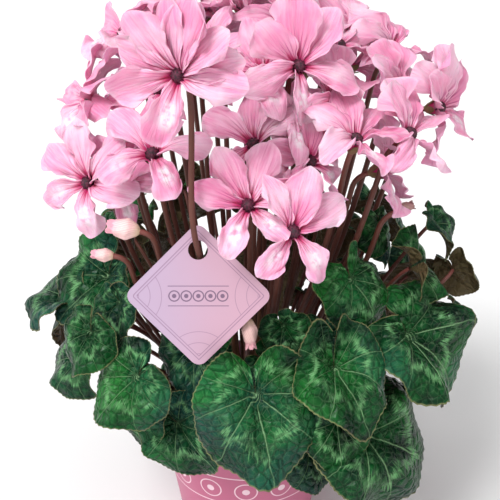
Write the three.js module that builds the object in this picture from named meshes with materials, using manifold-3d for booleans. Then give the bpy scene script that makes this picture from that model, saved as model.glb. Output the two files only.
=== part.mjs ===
// A potted cyclamen in bloom, in millimetres, +Z up.
// The origin is the centre of the pot's underside, and azimuth 0 is the front, along -Y.
// A place on the plant is given by its azimuth, its radius from the pot's axis and its height.
import * as THREE from 'three';
import { mergeVertices } from 'three/addons/utils/BufferGeometryUtils.js';
import Module from 'manifold-3d';

const wasm = await Module();
wasm.setup();

// Pot: a 14 cm plastic pot
const POT_HEIGHT = 120;
const POT_BASE_RADIUS = 50;
const POT_RIM_RADIUS = 70;
const POT_RIM_DEPTH = 15;
const POT_RIM_STEP = 2.2;
const POT_WALL = 1.8;
const POT_SIDES = 24;
const DRAIN_HOLES = 5;
const DRAIN_RADIUS = 5;
const DRAIN_RING = 34;

// Soil and corm
const GAP = 0.3;
const SOIL_TOP = 109;
const CORM_RADIUS = 38;
const CORM_TOP = 116;
const CORM_THICKNESS = 34;
const CORM_SIDES = 18;

// Stalks
const CROWN_RADIUS = 20;
const CROWN_THICKNESS = 3;
const CROWN_REACH = 40;
const RING_INNER = 21.5;
const RING_OUTER = 31;
const STALK_RADIUS = 1.9;
const STALK_SIDES = 4;
const NECK = 9;
const PETIOLE_RADIUS = 1.6;
const PETIOLE_SIDES = 4;
const PETIOLE_STEPS = 4;
const PETIOLE_RISE = 34;

// Blooms
const EYE_HEIGHT = 13;
const EYE_TIP = 14.5;
const CALYX_RADIUS = 2.4;
const PETAL_LENGTH = 36;
const PETAL_HALF_WIDTH = 10.2;
const PETAL_THICKNESS = 0.7;
const PETAL_ROOT = 7.5;

// Leaves
const LEAF_THICKNESS = 0.8;
const NOTCH = 0.1;
const TOOTH = 0.025;

// Tag: a square card hung by a round hole near its top corner
const TAG_SIDE = 65;
const TAG_CORNER = 6;
const TAG_THICKNESS = 0.7;
const TAG_HOLE_RADIUS = 6;
const TAG_HOLE_TO_TOP = 15;
const TAG_HOLE = { azimuth: -16, radius: 104, height: 281.6 };
const TAG_TILT = 15;
const TAG_STALK_SLANT = 60;
const TAG_BLOOM = 2;

// Room that growing pieces leave to each other
const CLEARANCE = 0.45;
const ATTEMPTS = 240;

// Open blooms: the azimuth, radius and height of the eye, the azimuth and elevation that it faces,
// the turn of its petals, its size and its number of petals. A row that ends in 1 grew into the
// bloom before it.
const BLOOMS = [
  [1, 101, 312, -4, 32, 20, 1.0, 6],
  [14, 120, 301, 18, 22, 10, 1.0, 5],
  [-17.5, 123, 394, -12, 15, 0, 1.12, 6],
  [-58, 119, 311, -30, 18, -8, 1.05, 6],
  [-35, 98, 338, -5, 52, 15, 1.0, 5],
  [-53, 98, 309, -20, 10, 30, 0.85, 5],
  [42, 101, 346, 40, 68, 10, 1.0, 6],
  [60, 120, 344, 70, 44, 36, 1.0, 5],
  [64, 102, 314, 78, 20, 10, 0.95, 5],
  [83, 131, 346, 58, 14, 0, 1.1, 5],
  [79, 107, 359, 70, 46, 20, 1.0, 5],
  [101, 103, 379, 60, 55, 0, 1.0, 5, 1],
  [29, 68, 385, 16, 26, 0, 1.1, 6],
  [49, 76, 363, 44, 50, 20, 0.95, 5, 1],
  [12, 50, 379, -10, 48, 20, 1.0, 5],
  [-45, 32, 383, -35, 50, 0, 0.95, 5, 1],
  [-51, 71, 368, -44, 44, 0, 1.0, 5, 1],
  [-76, 105, 355, -70, 40, 0, 1.0, 6],
  [-97, 83, 391, -75, 60, 0, 1.0, 6],
  [-117, 56, 400, -90, 45, 10, 1.0, 5],
  [109, 78, 389, 70, 62, 0, 1.0, 5],
  [129, 64, 398, 110, 50, 10, 1.0, 5, 1],
  [100, 27, 399, 50, 60, 0, 1.0, 5, 1],
  [79, 63, 388, 60, 56, 0, 1.0, 5, 1],
  [4, 70, 340, -6, 44, 0, 0.95, 5],
  [31, 80, 328, 30, 34, 0, 1.0, 5, 1],
  [30, 64, 351, 45, 66, 0, 0.95, 5, 1],
  [-128, 98, 356, -130, 28, 0, 1.05, 5],
  [-155, 104, 350, -158, 62, 10, 1.05, 5, 1],
  [178, 102, 354, 178, 20, 0, 1.05, 5],
  [153, 104, 350, 152, 64, 15, 1.05, 5, 1],
  [128, 103, 356, 126, 24, 0, 1.0, 5, 1],
  [-150, 56, 394, -150, 70, 0, 1.0, 5],
  [172, 52, 398, 170, 40, 10, 1.0, 5, 1],
  [-170, 12, 409, -120, 82, 0, 0.95, 5, 1],
];

// Buds and spent blooms: where the tip of the stalk is, the way it points, its length and its radius
const BUDS = [
  [-38, 107, 287, -90, 12, 21, 7],
  [-49, 112, 265, -95, 5, 15, 4.6],
  [1, 104, 236, 20, -75, 20, 5.2],
  [66, 108, 283, 90, 25, 14, 4.6],
  [-19, 92, 132, -10, -78, 17, 4],
];

// Leaves: the azimuth, radius and height of the point that its stalk meets, its width, the azimuth
// and elevation that it faces, the turn of its tip from straight down, its sag, its wave and the
// scroll of its lobes. A row that ends in 1 grew into the leaf before it.
const LEAVES = [
  [3, 118, 190, 86, 4, 32, 6, 0.18, 0.07, 0.12],
  [56, 128, 205, 88, 40, 42, 34, 0.14, 0.1, 0],
  [28, 121, 201, 68, 20, 60, 4, 0.12, 0.04, 0.3],
  [36, 130, 150, 98, 28, 34, 54, 0.16, 0.09, 0.05],
  [26, 118, 170, 52, 24, 34, 8, 0.1, 0.02, 0.1],
  [40, 104, 246, 60, 26, 42, 12, 0.12, 0.04, 0.1],
  [-34, 123, 193, 62, -24, 32, -38, 0.12, 0.04, 0.1],
  [-46, 126, 212, 50, -36, 36, -8, 0.1, 0.03, 0.15],
  [-49, 98, 236, 44, -32, 32, 30, 0.1, 0.02, 0],
  [-60, 126, 184, 60, -44, 34, -66, 0.12, 0.02, 0.1],
  [-63, 108, 236, 80, -44, 26, -48, 0.1, 0.03, 0],
  [-80, 128, 206, 68, -56, 48, -75, 0.14, 0.04, 0],
  [66, 122, 238, 62, 56, 50, 66, 0.14, 0.04, 0.1],
  [66, 106, 262, 40, 45, 40, -8, 0.1, 0.02, 0],
  [80, 134, 264, 46, 62, 48, 25, 0.12, 0.03, 0],
  [86, 148, 224, 38, 150, 22, -30, 0.08, 0.02, 0],
  [76, 152, 200, 36, 60, 35, 60, 0.1, 0.02, 0],
  [-27, 88, 217, 62, -14, 30, 10, 0.12, 0.02, 0],
  [-39, 108, 160, 50, -34, 16, -10, 0.1, 0.02, 0],
  [-26, 102, 150, 60, -18, 24, 45, 0.1, 0.02, 0, 1],
  [9, 97, 222, 46, 6, 30, 10, 0.1, 0.02, 0],
  [12, 100, 204, 40, 14, 26, 30, 0.1, 0.02, 0],
  [26, 98, 126, 50, 28, 15, 10, 0.1, 0.03, 0],
  [34, 88, 212, 48, 30, 40, 0, 0.1, 0.02, 0],
  [50, 98, 196, 44, 42, 35, 20, 0.1, 0.02, 0],
  [103, 126, 200, 80, 100, 34, 10, 0.14, 0.05, 0],
  [122, 118, 240, 70, 120, 42, -10, 0.12, 0.04, 0],
  [133, 132, 162, 78, 132, 28, 20, 0.14, 0.05, 0],
  [152, 122, 215, 80, 150, 36, 0, 0.12, 0.04, 0],
  [175, 128, 168, 80, 176, 28, -15, 0.14, 0.05, 0],
  [-165, 118, 235, 74, -166, 40, 10, 0.12, 0.04, 0],
  [-145, 130, 185, 80, -146, 32, -20, 0.14, 0.05, 0],
  [-125, 120, 228, 74, -124, 40, 15, 0.12, 0.04, 0],
  [-103, 128, 180, 72, -104, 30, -10, 0.14, 0.05, 0],
];

const COLOURS = {
  pot: 0xb85c7c,
  soil: 0x3b2a20,
  corm: 0x5d4636,
  stalk: 0x6e3a2e,
  leaf: 0x2e5a36,
  petal: 0xf0a6c4,
  tag: 0xe9bccd,
};

const UP = new THREE.Vector3(0, 0, 1);
const degrees = THREE.MathUtils.degToRad;

// Places and directions
function outward(azimuth) {
  return new THREE.Vector3(Math.sin(degrees(azimuth)), -Math.cos(degrees(azimuth)), 0);
}

function place(azimuth, radius, height) {
  return outward(azimuth).multiplyScalar(radius).setZ(height);
}

function direction(azimuth, elevation) {
  return outward(azimuth).multiplyScalar(Math.cos(degrees(elevation))).setZ(Math.sin(degrees(elevation)));
}

// A frame at a point whose z axis is the given one and whose y axis is turned from straight up
function frameAt(origin, axis, turn) {
  const side = new THREE.Vector3().crossVectors(UP, axis).normalize();
  const up = new THREE.Vector3().crossVectors(axis, side);
  const matrix = new THREE.Matrix4().makeBasis(side, up, axis);
  matrix.multiply(new THREE.Matrix4().makeRotationZ(degrees(turn)));
  return matrix.setPosition(origin);
}

// A seeded draw between -1 and 1
function draw(item, attempt, use) {
  const value = Math.sin(item * 12.9898 + attempt * 78.233 + use * 37.719) * 43758.5453;
  return 2 * (value - Math.floor(value)) - 1;
}

// A form is a closed skin of points and triangles
function transformed(form, matrix) {
  return { points: form.points.map((point) => point.clone().applyMatrix4(matrix)), faces: form.faces };
}

// A thin blade: the middle surface is copied to both sides and closed along its edge, but for one
// edge that may stay open where the blade grows out of something
function blade(points, faces, thickness, openEdge) {
  const normals = points.map(() => new THREE.Vector3());
  const edges = new Map();
  for (const [a, b, c] of faces) {
    const ab = points[b].clone().sub(points[a]);
    const ac = points[c].clone().sub(points[a]);
    const normal = ab.cross(ac);
    for (const corner of [a, b, c]) normals[corner].add(normal);
    for (const [from, to] of [[a, b], [b, c], [c, a]]) edges.set(`${from},${to}`, [from, to]);
  }
  normals.forEach((normal) => normal.normalize());
  const count = points.length;
  const front = points.map((point, i) => point.clone().addScaledVector(normals[i], thickness / 2));
  const back = points.map((point, i) => point.clone().addScaledVector(normals[i], -thickness / 2));
  const skin = [];
  for (const [a, b, c] of faces) {
    skin.push([a, b, c], [a + count, c + count, b + count]);
  }
  for (const [from, to] of edges.values()) {
    if (edges.has(`${to},${from}`) || `${from},${to}` === openEdge) continue;
    skin.push([from, to + count, to], [from, from + count, to + count]);
  }
  return { points: front.concat(back), faces: skin };
}

// A tube through rings round a list of stations, each with a point and a radius
function tube(stations, sides, firstSide) {
  const points = [];
  const faces = [];
  let across = firstSide.clone();
  stations.forEach((station, i) => {
    const along = station.along;
    across = across.addScaledVector(along, -across.dot(along)).normalize();
    const third = new THREE.Vector3().crossVectors(along, across);
    for (let side = 0; side < sides; side += 1) {
      const angle = (2 * Math.PI * side) / sides;
      points.push(station.point.clone()
        .addScaledVector(across, station.radius * Math.cos(angle))
        .addScaledVector(third, station.radius * Math.sin(angle)));
      const next = (side + 1) % sides;
      if (i > 0) {
        const low = (i - 1) * sides;
        const high = i * sides;
        faces.push([low + side, low + next, high + next], [low + side, high + next, high + side]);
      }
    }
  });
  const last = points.length - sides;
  for (let side = 1; side < sides - 1; side += 1) {
    faces.push([0, side + 1, side], [last, last + side, last + side + 1]);
  }
  return { points, faces };
}

// Stations along one or more curves in a row, each with its own number of steps
function stationsAlong(parts, radiusAt) {
  const stations = [];
  parts.forEach(({ curve, steps }, part) => {
    for (let step = part === 0 ? 0 : 1; step <= steps; step += 1) {
      const t = step / steps;
      stations.push({ point: curve.getPoint(t), along: curve.getTangent(t) });
    }
  });
  stations.forEach((station, i) => { station.radius = radiusAt(i / (stations.length - 1)); });
  return stations;
}

// Whether a line between two points passes through a triangle
function sideOf(a, b, c, p) {
  const abx = b.x - a.x;
  const aby = b.y - a.y;
  const abz = b.z - a.z;
  const acx = c.x - a.x;
  const acy = c.y - a.y;
  const acz = c.z - a.z;
  const apx = p.x - a.x;
  const apy = p.y - a.y;
  const apz = p.z - a.z;
  return (aby * acz - abz * acy) * apx + (abz * acx - abx * acz) * apy + (abx * acy - aby * acx) * apz;
}

function pierces(from, to, a, b, c) {
  if (sideOf(a, b, c, from) > 0 === sideOf(a, b, c, to) > 0) return false;
  const first = sideOf(from, to, a, b) > 0;
  return first === sideOf(from, to, b, c) > 0 && first === sideOf(from, to, c, a) > 0;
}

// What a form needs for being tested against others: boxes round it and round each triangle
function body(form) {
  const box = new THREE.Box3().setFromPoints(form.faces.flat().map((corner) => form.points[corner]));
  const triangles = form.faces.map(([a, b, c]) => {
    const corners = [form.points[a], form.points[b], form.points[c]];
    return { corners, box: new THREE.Box3().setFromPoints(corners) };
  });
  const edges = [];
  for (const [a, b, c] of form.faces) {
    for (const [from, to] of [[a, b], [b, c], [c, a]]) {
      if (from > to) continue;
      const ends = [form.points[from], form.points[to]];
      edges.push({ ends, box: new THREE.Box3().setFromPoints(ends) });
    }
  }
  return { box, triangles, edges };
}

function cuts(one, other) {
  const triangles = other.triangles.filter((triangle) => triangle.box.intersectsBox(one.box));
  return one.edges.some((edge) => edge.box.intersectsBox(other.box) && triangles.some((triangle) => (
    edge.box.intersectsBox(triangle.box) && pierces(...edge.ends, ...triangle.corners))));
}

function touches(one, other) {
  return one.box.intersectsBox(other.box) && (cuts(one, other) || cuts(other, one));
}

function isClear(one, others) {
  return !others.some((other) => touches(one, other));
}

// Petals: rows from root to tip, each with its places across
const PETAL_ROWS = [
  { along: 0, across: [-1, 1] },
  { along: 0.32, across: [-1, 0, 1] },
  { along: 0.72, across: [-1, 0, 1] },
  { along: 1, across: [-1, 1] },
];
const PETAL_FACES = [
  [0, 1, 3], [0, 3, 2], [1, 4, 3],
  [2, 3, 6], [2, 6, 5], [3, 4, 7], [3, 7, 6],
  [5, 6, 8], [6, 9, 8], [6, 7, 9],
];
const PETAL_POINTS = 10;
const PETAL_START = 3.4;
const PETAL_LEAVES_AT = 40;
const PETAL_CUP = 0.22;
const PETAL_OVERLAP = 24;
const PETAL_CROWDING = 17;
// The length and the width of the uppermost and the lowest petal, as shares of a petal's own
const UPPER_PETAL = { length: 1.06, width: 0.98 };
const LOWER_PETAL = { length: 0.92, width: 0.7 };

function petalBend(petal, along) {
  const ease = 1 - (1 - along) ** 2;
  return degrees(PETAL_LEAVES_AT + (petal.open - PETAL_LEAVES_AT) * ease);
}

function petalHalfWidth(petal, along) {
  const round = Math.sin(Math.PI * (0.05 + 0.91 * along)) ** 0.8;
  return petal.width * 1.25 * round * (0.55 + 0.45 * along);
}

// A point of the petal in the bloom's frame, from its place along and across
function petalPoint(petal, along, across) {
  const steps = 12;
  let reach = PETAL_START;
  let rise = PETAL_ROOT;
  for (let step = 0; step < steps; step += 1) {
    const bend = petalBend(petal, (along * (step + 0.5)) / steps);
    reach += (petal.length * along * Math.sin(bend)) / steps;
    rise += (petal.length * along * Math.cos(bend)) / steps;
  }
  const bend = petalBend(petal, along);
  const half = petalHalfWidth(petal, along);
  const roll = degrees(PETAL_OVERLAP + petal.twist * along);
  const aside = across * half * Math.cos(roll);
  const lift = across * half * Math.sin(roll) + PETAL_CUP * half * across * across;
  const angle = degrees(petal.angle);
  const radial = reach - lift * Math.cos(bend);
  return new THREE.Vector3(
    radial * Math.sin(angle) + aside * Math.cos(angle),
    radial * Math.cos(angle) - aside * Math.sin(angle),
    rise + lift * Math.sin(bend),
  );
}

function petalForm(petal, room, openEdge) {
  const points = [];
  for (const { along, across } of PETAL_ROWS) {
    for (const side of across) points.push(petalPoint(petal, along, side));
  }
  return blade(points, PETAL_FACES, PETAL_THICKNESS + room, openEdge);
}

// The way a petal would like to stand, and how each further attempt departs from that
function petalAttempt(bloom, number, attempt, room) {
  const item = bloom.number * 10 + number;
  const even = (360 * number) / bloom.petals;
  const angle = bloom.turn + even - PETAL_CROWDING * Math.sin(degrees(even)) + 6 * draw(item, 0, 1);
  const low = (1 - Math.cos(degrees(angle))) / 2;
  const long = THREE.MathUtils.lerp(UPPER_PETAL.length, LOWER_PETAL.length, low);
  const wide = THREE.MathUtils.lerp(UPPER_PETAL.width, LOWER_PETAL.width, low);
  const stray = Math.min(1.6, attempt / 24);
  const shorter = 1 - 0.3 * stray * Math.abs(draw(item, attempt, 7));
  const narrower = 1 - 0.25 * stray * Math.abs(draw(item, attempt, 8));
  return {
    angle: angle + 14 * stray * draw(item, attempt, 2),
    open: 78 + 30 * low + 8 * draw(item, 0, 3) + 34 * stray * draw(item, attempt, 4),
    twist: 10 * draw(item, 0, 5) + 26 * stray * draw(item, attempt, 6),
    length: PETAL_LENGTH * bloom.size * long * shorter * (1 + room / 20),
    width: PETAL_HALF_WIDTH * bloom.size * wide * narrower * (1 + room / 10),
  };
}

// Leaves: a centre over the stalk, an inner ring and a toothed outer edge, open at the notch
const LEAF_INNER = 9;
const LEAF_OUTER = 2 * LEAF_INNER - 1;
const LEAF_RING = 0.56;

function leafReach(leaf, angle) {
  const fromNotch = Math.PI - Math.abs(angle);
  const heart = 0.48 + 0.11 * Math.cos(angle) + 0.02 * Math.cos(2 * angle)
    + 0.09 * Math.exp(-((angle / 0.3) ** 2));
  return leaf.width * heart * (1 - 0.5 * Math.exp(-((fromNotch / 0.35) ** 2)));
}

// A point of the leaf in its own frame, from the angle round its stalk and the share of the way out
function leafPoint(leaf, angle, share, tooth) {
  const reach = leafReach(leaf, angle) * share * (1 + tooth);
  const back = Math.max(0, -Math.cos(angle));
  const sag = -leaf.sag * share ** 2 * (1 + 0.6 * Math.max(0, Math.cos(angle)));
  const pucker = 0.05 * Math.sin(Math.PI * share);
  const wave = leaf.wave * share ** 2 * Math.sin(5 * angle + leaf.phase);
  const scroll = leaf.scroll * share ** 2 * back ** 2;
  return new THREE.Vector3(
    reach * Math.sin(angle),
    reach * Math.cos(angle),
    leaf.width * (sag + pucker + wave + scroll),
  );
}

function leafForm(leaf, room) {
  const points = [leafPoint(leaf, 0, 0, 0)];
  const faces = [];
  const ringAngle = (i, count) => (NOTCH - Math.PI) + (2 * (Math.PI - NOTCH) * i) / (count - 1);
  for (let i = 0; i < LEAF_INNER; i += 1) {
    points.push(leafPoint(leaf, ringAngle(i, LEAF_INNER), LEAF_RING, 0));
  }
  for (let i = 0; i < LEAF_OUTER; i += 1) {
    const tooth = (i % 2 === 0 ? TOOTH : -TOOTH) + room / 40;
    points.push(leafPoint(leaf, ringAngle(i, LEAF_OUTER), 1, tooth));
  }
  for (let i = 0; i < LEAF_INNER - 1; i += 1) {
    const inner = 1 + i;
    const outer = 1 + LEAF_INNER + 2 * i;
    faces.push([0, inner, inner + 1], [inner, outer, outer + 1], [inner, outer + 1, inner + 1],
      [inner + 1, outer + 1, outer + 2]);
  }
  return blade(points, faces.map(([a, b, c]) => [a, c, b]), LEAF_THICKNESS + room);
}

// The way a leaf would like to hang, and how each further attempt departs from that
function leafAttempt(leaf, attempt) {
  const stray = Math.min(1.5, attempt / 40);
  const nudge = (use, most) => most * stray * draw(leaf.number, attempt, use);
  return {
    ...leaf,
    azimuth: leaf.azimuth + nudge(1, 5),
    radius: leaf.radius + nudge(2, 10),
    height: leaf.height + nudge(3, 10),
    faceAzimuth: leaf.faceAzimuth + nudge(4, 20),
    faceElevation: leaf.faceElevation + nudge(5, 20),
    turn: leaf.turn + nudge(6, 20),
    sag: leaf.sag + nudge(7, 0.1),
    width: leaf.width * (1 - 0.15 * stray * Math.abs(draw(leaf.number, attempt, 8))),
    phase: 3 * draw(leaf.number, 0, 9),
  };
}

function leafFrame(leaf) {
  const axis = direction(leaf.faceAzimuth, leaf.faceElevation);
  return frameAt(place(leaf.azimuth, leaf.radius, leaf.height), axis, 180 + leaf.turn);
}

// A leaf's stalk leaves the ring at a slant and meets the leaf square from behind
function petioleCurve(leaf, attempt) {
  const stray = Math.min(1, attempt / 30);
  const axis = direction(leaf.faceAzimuth, leaf.faceElevation);
  const end = place(leaf.azimuth, leaf.radius, leaf.height)
    .addScaledVector(axis, -(LEAF_THICKNESS / 2 + GAP));
  const aside = leaf.azimuth + 14 * stray * draw(leaf.number, attempt, 10);
  const root = place(aside, (RING_INNER + RING_OUTER) / 2, CORM_TOP + 2);
  const reach = root.distanceTo(end);
  const launch = direction(aside, 42 + 10 * draw(leaf.number, attempt, 11));
  const rise = PETIOLE_RISE * (0.6 + 0.3 * stray * draw(leaf.number, attempt, 12));
  const first = root.clone().addScaledVector(launch, 0.45 * reach);
  const second = end.clone().addScaledVector(axis, -rise);
  return new THREE.CubicBezierCurve3(root, first, second, end);
}

function petioleForm(leaf, attempt, room) {
  const parts = [{ curve: petioleCurve(leaf, attempt), steps: PETIOLE_STEPS }];
  const stations = stationsAlong(parts, () => PETIOLE_RADIUS + room / 2);
  return tube(stations, PETIOLE_SIDES, new THREE.Vector3(1, 0, 0));
}

// A flower's stalk rises from the crown, leans out and bends into the back of its bloom
function stalkParts(tip, number, attempt) {
  const stray = Math.min(1, attempt / 20);
  const aside = tip.azimuth + 12 * stray * draw(number, attempt, 21);
  const root = place(aside, 5 + 0.1 * tip.radius - 2.5 * (number % 2), CORM_TOP + 2);
  const lean = direction(tip.azimuth, 90 - 0.13 * tip.radius);
  const end = tip.end.clone().addScaledVector(tip.axis, -GAP);
  const corner = end.clone().addScaledVector(tip.axis, -NECK);
  const neck = corner.clone().addScaledVector(lean, -NECK);
  const reach = root.distanceTo(neck);
  const launch = direction(aside, 90 - 0.3 * tip.radius);
  const sway = new THREE.Vector3(draw(number, attempt, 22), draw(number, attempt, 23), 0);
  sway.multiplyScalar(14 * stray);
  const hook = { curve: new THREE.QuadraticBezierCurve3(neck, corner, end), steps: 2 };
  if (tip.throughTag) {
    const hole = place(TAG_HOLE.azimuth, TAG_HOLE.radius, TAG_HOLE.height);
    const slant = direction(TAG_HOLE.azimuth, TAG_STALK_SLANT);
    const below = hole.clone().addScaledVector(slant, -0.4 * root.distanceTo(hole));
    const above = hole.clone().addScaledVector(slant, 0.42 * hole.distanceTo(neck));
    const bent = root.clone().addScaledVector(launch, 0.3 * root.distanceTo(hole));
    const under = neck.clone().addScaledVector(lean, -0.35 * hole.distanceTo(neck));
    return [
      { curve: new THREE.CubicBezierCurve3(root, bent, below, hole), steps: 4 },
      { curve: new THREE.CubicBezierCurve3(hole, above, under, neck), steps: 3 },
      hook,
    ];
  }
  const first = root.clone().addScaledVector(launch, 0.38 * reach).add(sway);
  const second = neck.clone().addScaledVector(lean, -0.38 * reach).add(sway);
  return [{ curve: new THREE.CubicBezierCurve3(root, first, second, neck), steps: 4 }, hook];
}

function stalkForm(tip, number, attempt, room) {
  const stations = stationsAlong(stalkParts(tip, number, attempt), () => STALK_RADIUS + room / 2);
  return tube(stations, STALK_SIDES, new THREE.Vector3(1, 0, 0));
}

// Solids and meshes
function formOf(geometry) {
  for (const name of ['normal', 'uv']) geometry.deleteAttribute(name);
  const merged = mergeVertices(geometry, 1e-4);
  const { position } = merged.attributes;
  const points = [];
  for (let i = 0; i < position.count; i += 1) {
    points.push(new THREE.Vector3().fromBufferAttribute(position, i));
  }
  const index = Array.from(merged.index.array);
  const faces = [];
  for (let i = 0; i < index.length; i += 3) {
    const [a, b, c] = index.slice(i, i + 3);
    if (a !== b && b !== c && c !== a) faces.push([a, b, c]);
  }
  return { points, faces };
}

function lathe(profile, sides) {
  const outline = profile.map(([radius, height]) => new THREE.Vector2(radius, height));
  return formOf(new THREE.LatheGeometry(outline, sides).rotateX(Math.PI / 2));
}

function solid(form) {
  return new wasm.Manifold(new wasm.Mesh({
    numProp: 3,
    vertProperties: new Float32Array(form.points.flatMap((point) => point.toArray())),
    triVerts: new Uint32Array(form.faces.flat()),
  }));
}

function joined(forms) {
  return forms.map(solid).reduce((all, next) => all.add(next));
}

function geometryOf(shape) {
  const geometry = new THREE.BufferGeometry();
  const { vertProperties, triVerts } = shape.getMesh();
  geometry.setAttribute('position', new THREE.BufferAttribute(vertProperties, 3));
  geometry.setIndex(new THREE.BufferAttribute(triVerts, 1));
  geometry.computeVertexNormals();
  return geometry;
}

const plant = new THREE.Group();

function addPiece(name, shape, colour, roughness) {
  const material = new THREE.MeshStandardMaterial({ color: colour, roughness, metalness: 0 });
  const mesh = new THREE.Mesh(geometryOf(shape), material);
  mesh.name = name;
  plant.add(mesh);
}

// The pot: a tapered shell with a rim band and drain holes
function potProfile() {
  const band = POT_HEIGHT - POT_RIM_DEPTH;
  const step = POT_RIM_RADIUS - POT_RIM_STEP;
  return [
    [0, 0], [POT_BASE_RADIUS - 1.5, 0], [POT_BASE_RADIUS, 1.5], [step - 0.8, band - 1],
    [POT_RIM_RADIUS - 0.6, band], [POT_RIM_RADIUS, POT_HEIGHT - 1.6], [POT_RIM_RADIUS - 0.8, POT_HEIGHT],
    [POT_RIM_RADIUS - 2.6, POT_HEIGHT], [POT_RIM_RADIUS - 3.2, POT_HEIGHT - 1.4],
    [step - 0.8 - POT_WALL, band - 1], [POT_BASE_RADIUS - POT_WALL, POT_WALL + 1.2], [0, POT_WALL + 1.2],
  ];
}

function potShape() {
  const drains = [];
  for (let i = 0; i < DRAIN_HOLES; i += 1) {
    const hole = new THREE.CylinderGeometry(DRAIN_RADIUS, DRAIN_RADIUS, 12, 10).rotateX(Math.PI / 2);
    const centre = place((360 * i) / DRAIN_HOLES, DRAIN_RING, 0);
    drains.push(formOf(hole.translate(centre.x, centre.y, centre.z)));
  }
  return solid(lathe(potProfile(), POT_SIDES)).subtract(joined(drains));
}

// The corm: a flattened globe with a flat crown
function cormProfile(room) {
  const profile = [];
  const middle = CORM_TOP - CORM_THICKNESS / 2;
  const steps = 6;
  profile.push([0, middle - CORM_THICKNESS / 2 - room]);
  for (let i = 1; i <= steps; i += 1) {
    const angle = degrees(-90 + (130 * i) / steps);
    const radius = (CORM_RADIUS + room) * Math.cos(angle) ** 0.8;
    profile.push([radius, middle + (CORM_THICKNESS / 2 + room) * Math.sin(angle)]);
  }
  return profile;
}

function cormShape() {
  const profile = cormProfile(0);
  profile.push([RING_OUTER + 1.5, CORM_TOP - 1.5], [RING_OUTER + 0.5, CORM_TOP], [0, CORM_TOP]);
  return solid(lathe(profile, CORM_SIDES));
}

// The soil: fills the pot to below its rim, with a hollow under the corm
function soilShape() {
  const floor = POT_WALL + 1.2 + GAP;
  const bottom = POT_BASE_RADIUS - POT_WALL - 2 * GAP;
  const top = POT_RIM_RADIUS - POT_RIM_STEP - 0.8 - POT_WALL - 2 * GAP;
  const band = POT_HEIGHT - POT_RIM_DEPTH - 1;
  const hollow = cormProfile(GAP).filter(([, height]) => height < SOIL_TOP - 3).reverse();
  return solid(lathe([[0, floor], [bottom - 0.5, floor], [top - 0.5, band], [top + 0.2, SOIL_TOP - 2],
    [top - 6, SOIL_TOP], [CORM_RADIUS + 12, SOIL_TOP - 1], ...hollow], CORM_SIDES));
}

// The tag: a rounded square standing on its corner, with a round hole
function tagForm(room) {
  const half = TAG_SIDE / 2;
  const corner = TAG_CORNER;
  const outline = new THREE.Shape();
  outline.moveTo(half - corner, -half);
  outline.absarc(half - corner, corner - half, corner, -Math.PI / 2, 0);
  outline.absarc(half - corner, half - corner, corner, 0, Math.PI / 2);
  outline.absarc(corner - half, half - corner, corner, Math.PI / 2, Math.PI);
  outline.absarc(corner - half, corner - half, corner, Math.PI, 1.5 * Math.PI);
  const topCorner = half * Math.SQRT2 - corner * (Math.SQRT2 - 1);
  const holeAt = (topCorner - TAG_HOLE_TO_TOP) / Math.SQRT2;
  const hole = new THREE.Path();
  hole.absarc(holeAt, holeAt, TAG_HOLE_RADIUS - room / 2, 0, 2 * Math.PI, true);
  outline.holes.push(hole);
  const depth = TAG_THICKNESS + room;
  const card = new THREE.ExtrudeGeometry(outline, { depth, bevelEnabled: false, curveSegments: 4 });
  card.translate(-holeAt, -holeAt, -depth / 2).rotateZ(Math.PI / 4);
  const centre = place(TAG_HOLE.azimuth, TAG_HOLE.radius, TAG_HOLE.height);
  return transformed(formOf(card), frameAt(centre, direction(0, TAG_TILT), 0));
}

// Buds: a pointed oval on the tip of its stalk
function budForm(bud) {
  const profile = [[0, 0], [0.42, 0.12], [1, 0.42], [0.72, 0.78], [0, 1]];
  const form = lathe(profile.map(([radius, height]) => [radius * bud.girth, height * bud.length]), 6);
  return transformed(form, frameAt(bud.end.clone().addScaledVector(bud.axis, -1.5), bud.axis, 0));
}

// A bloom: the calyx, a ring that the petals grow out of, and the cone in its eye, in one skin
function bloomForm(petals) {
  const points = [];
  const faces = [];
  const roots = [...petals].sort((one, other) => one.angle - other.angle).map((petal) => {
    const form = petalForm(petal, 0, '0,1');
    const first = points.length;
    points.push(...form.points);
    faces.push(...form.faces.map((face) => face.map((corner) => corner + first)));
    const back = first + PETAL_POINTS;
    return { left: first, right: first + 1, backLeft: back, backRight: back + 1 };
  });
  roots.forEach((root, i) => {
    root.calyx = points.length;
    const angle = degrees(petals[i].angle);
    points.push(new THREE.Vector3(CALYX_RADIUS * Math.sin(angle), CALYX_RADIUS * Math.cos(angle), 0));
  });
  const tip = points.length;
  points.push(new THREE.Vector3(0, 0, EYE_TIP));
  roots.forEach((root, i) => {
    const next = roots[(i + 1) % roots.length];
    faces.push([tip, root.right, root.left], [tip, next.left, root.right]);
    faces.push([root.right, next.left, next.backLeft], [root.right, next.backLeft, root.backRight]);
    faces.push([root.backLeft, root.backRight, root.calyx]);
    faces.push([root.backRight, next.backLeft, next.calyx], [root.backRight, next.calyx, root.calyx]);
    if (i > 0 && i < roots.length - 1) faces.push([roots[0].calyx, root.calyx, next.calyx]);
  });
  return { points, faces };
}

// The heart of a bloom as its neighbours meet it
function heartForm(room) {
  const profile = [[0, -room], [CALYX_RADIUS + room, -room], [4.6 + room, PETAL_ROOT], [0, EYE_TIP + room]];
  return lathe(profile, 6);
}

// The pot's wall as the growing pieces meet it
function potWallForm() {
  const rim = POT_RIM_RADIUS + 2;
  const under = POT_HEIGHT - POT_RIM_DEPTH - 1;
  return lathe([[POT_BASE_RADIUS, -2], [rim - 3, under], [rim, under], [rim, POT_HEIGHT + 1],
    [rim - 8, POT_HEIGHT + 1], [rim - 8, under], [POT_BASE_RADIUS - 6, -2], [POT_BASE_RADIUS, -2]], 16);
}

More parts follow.
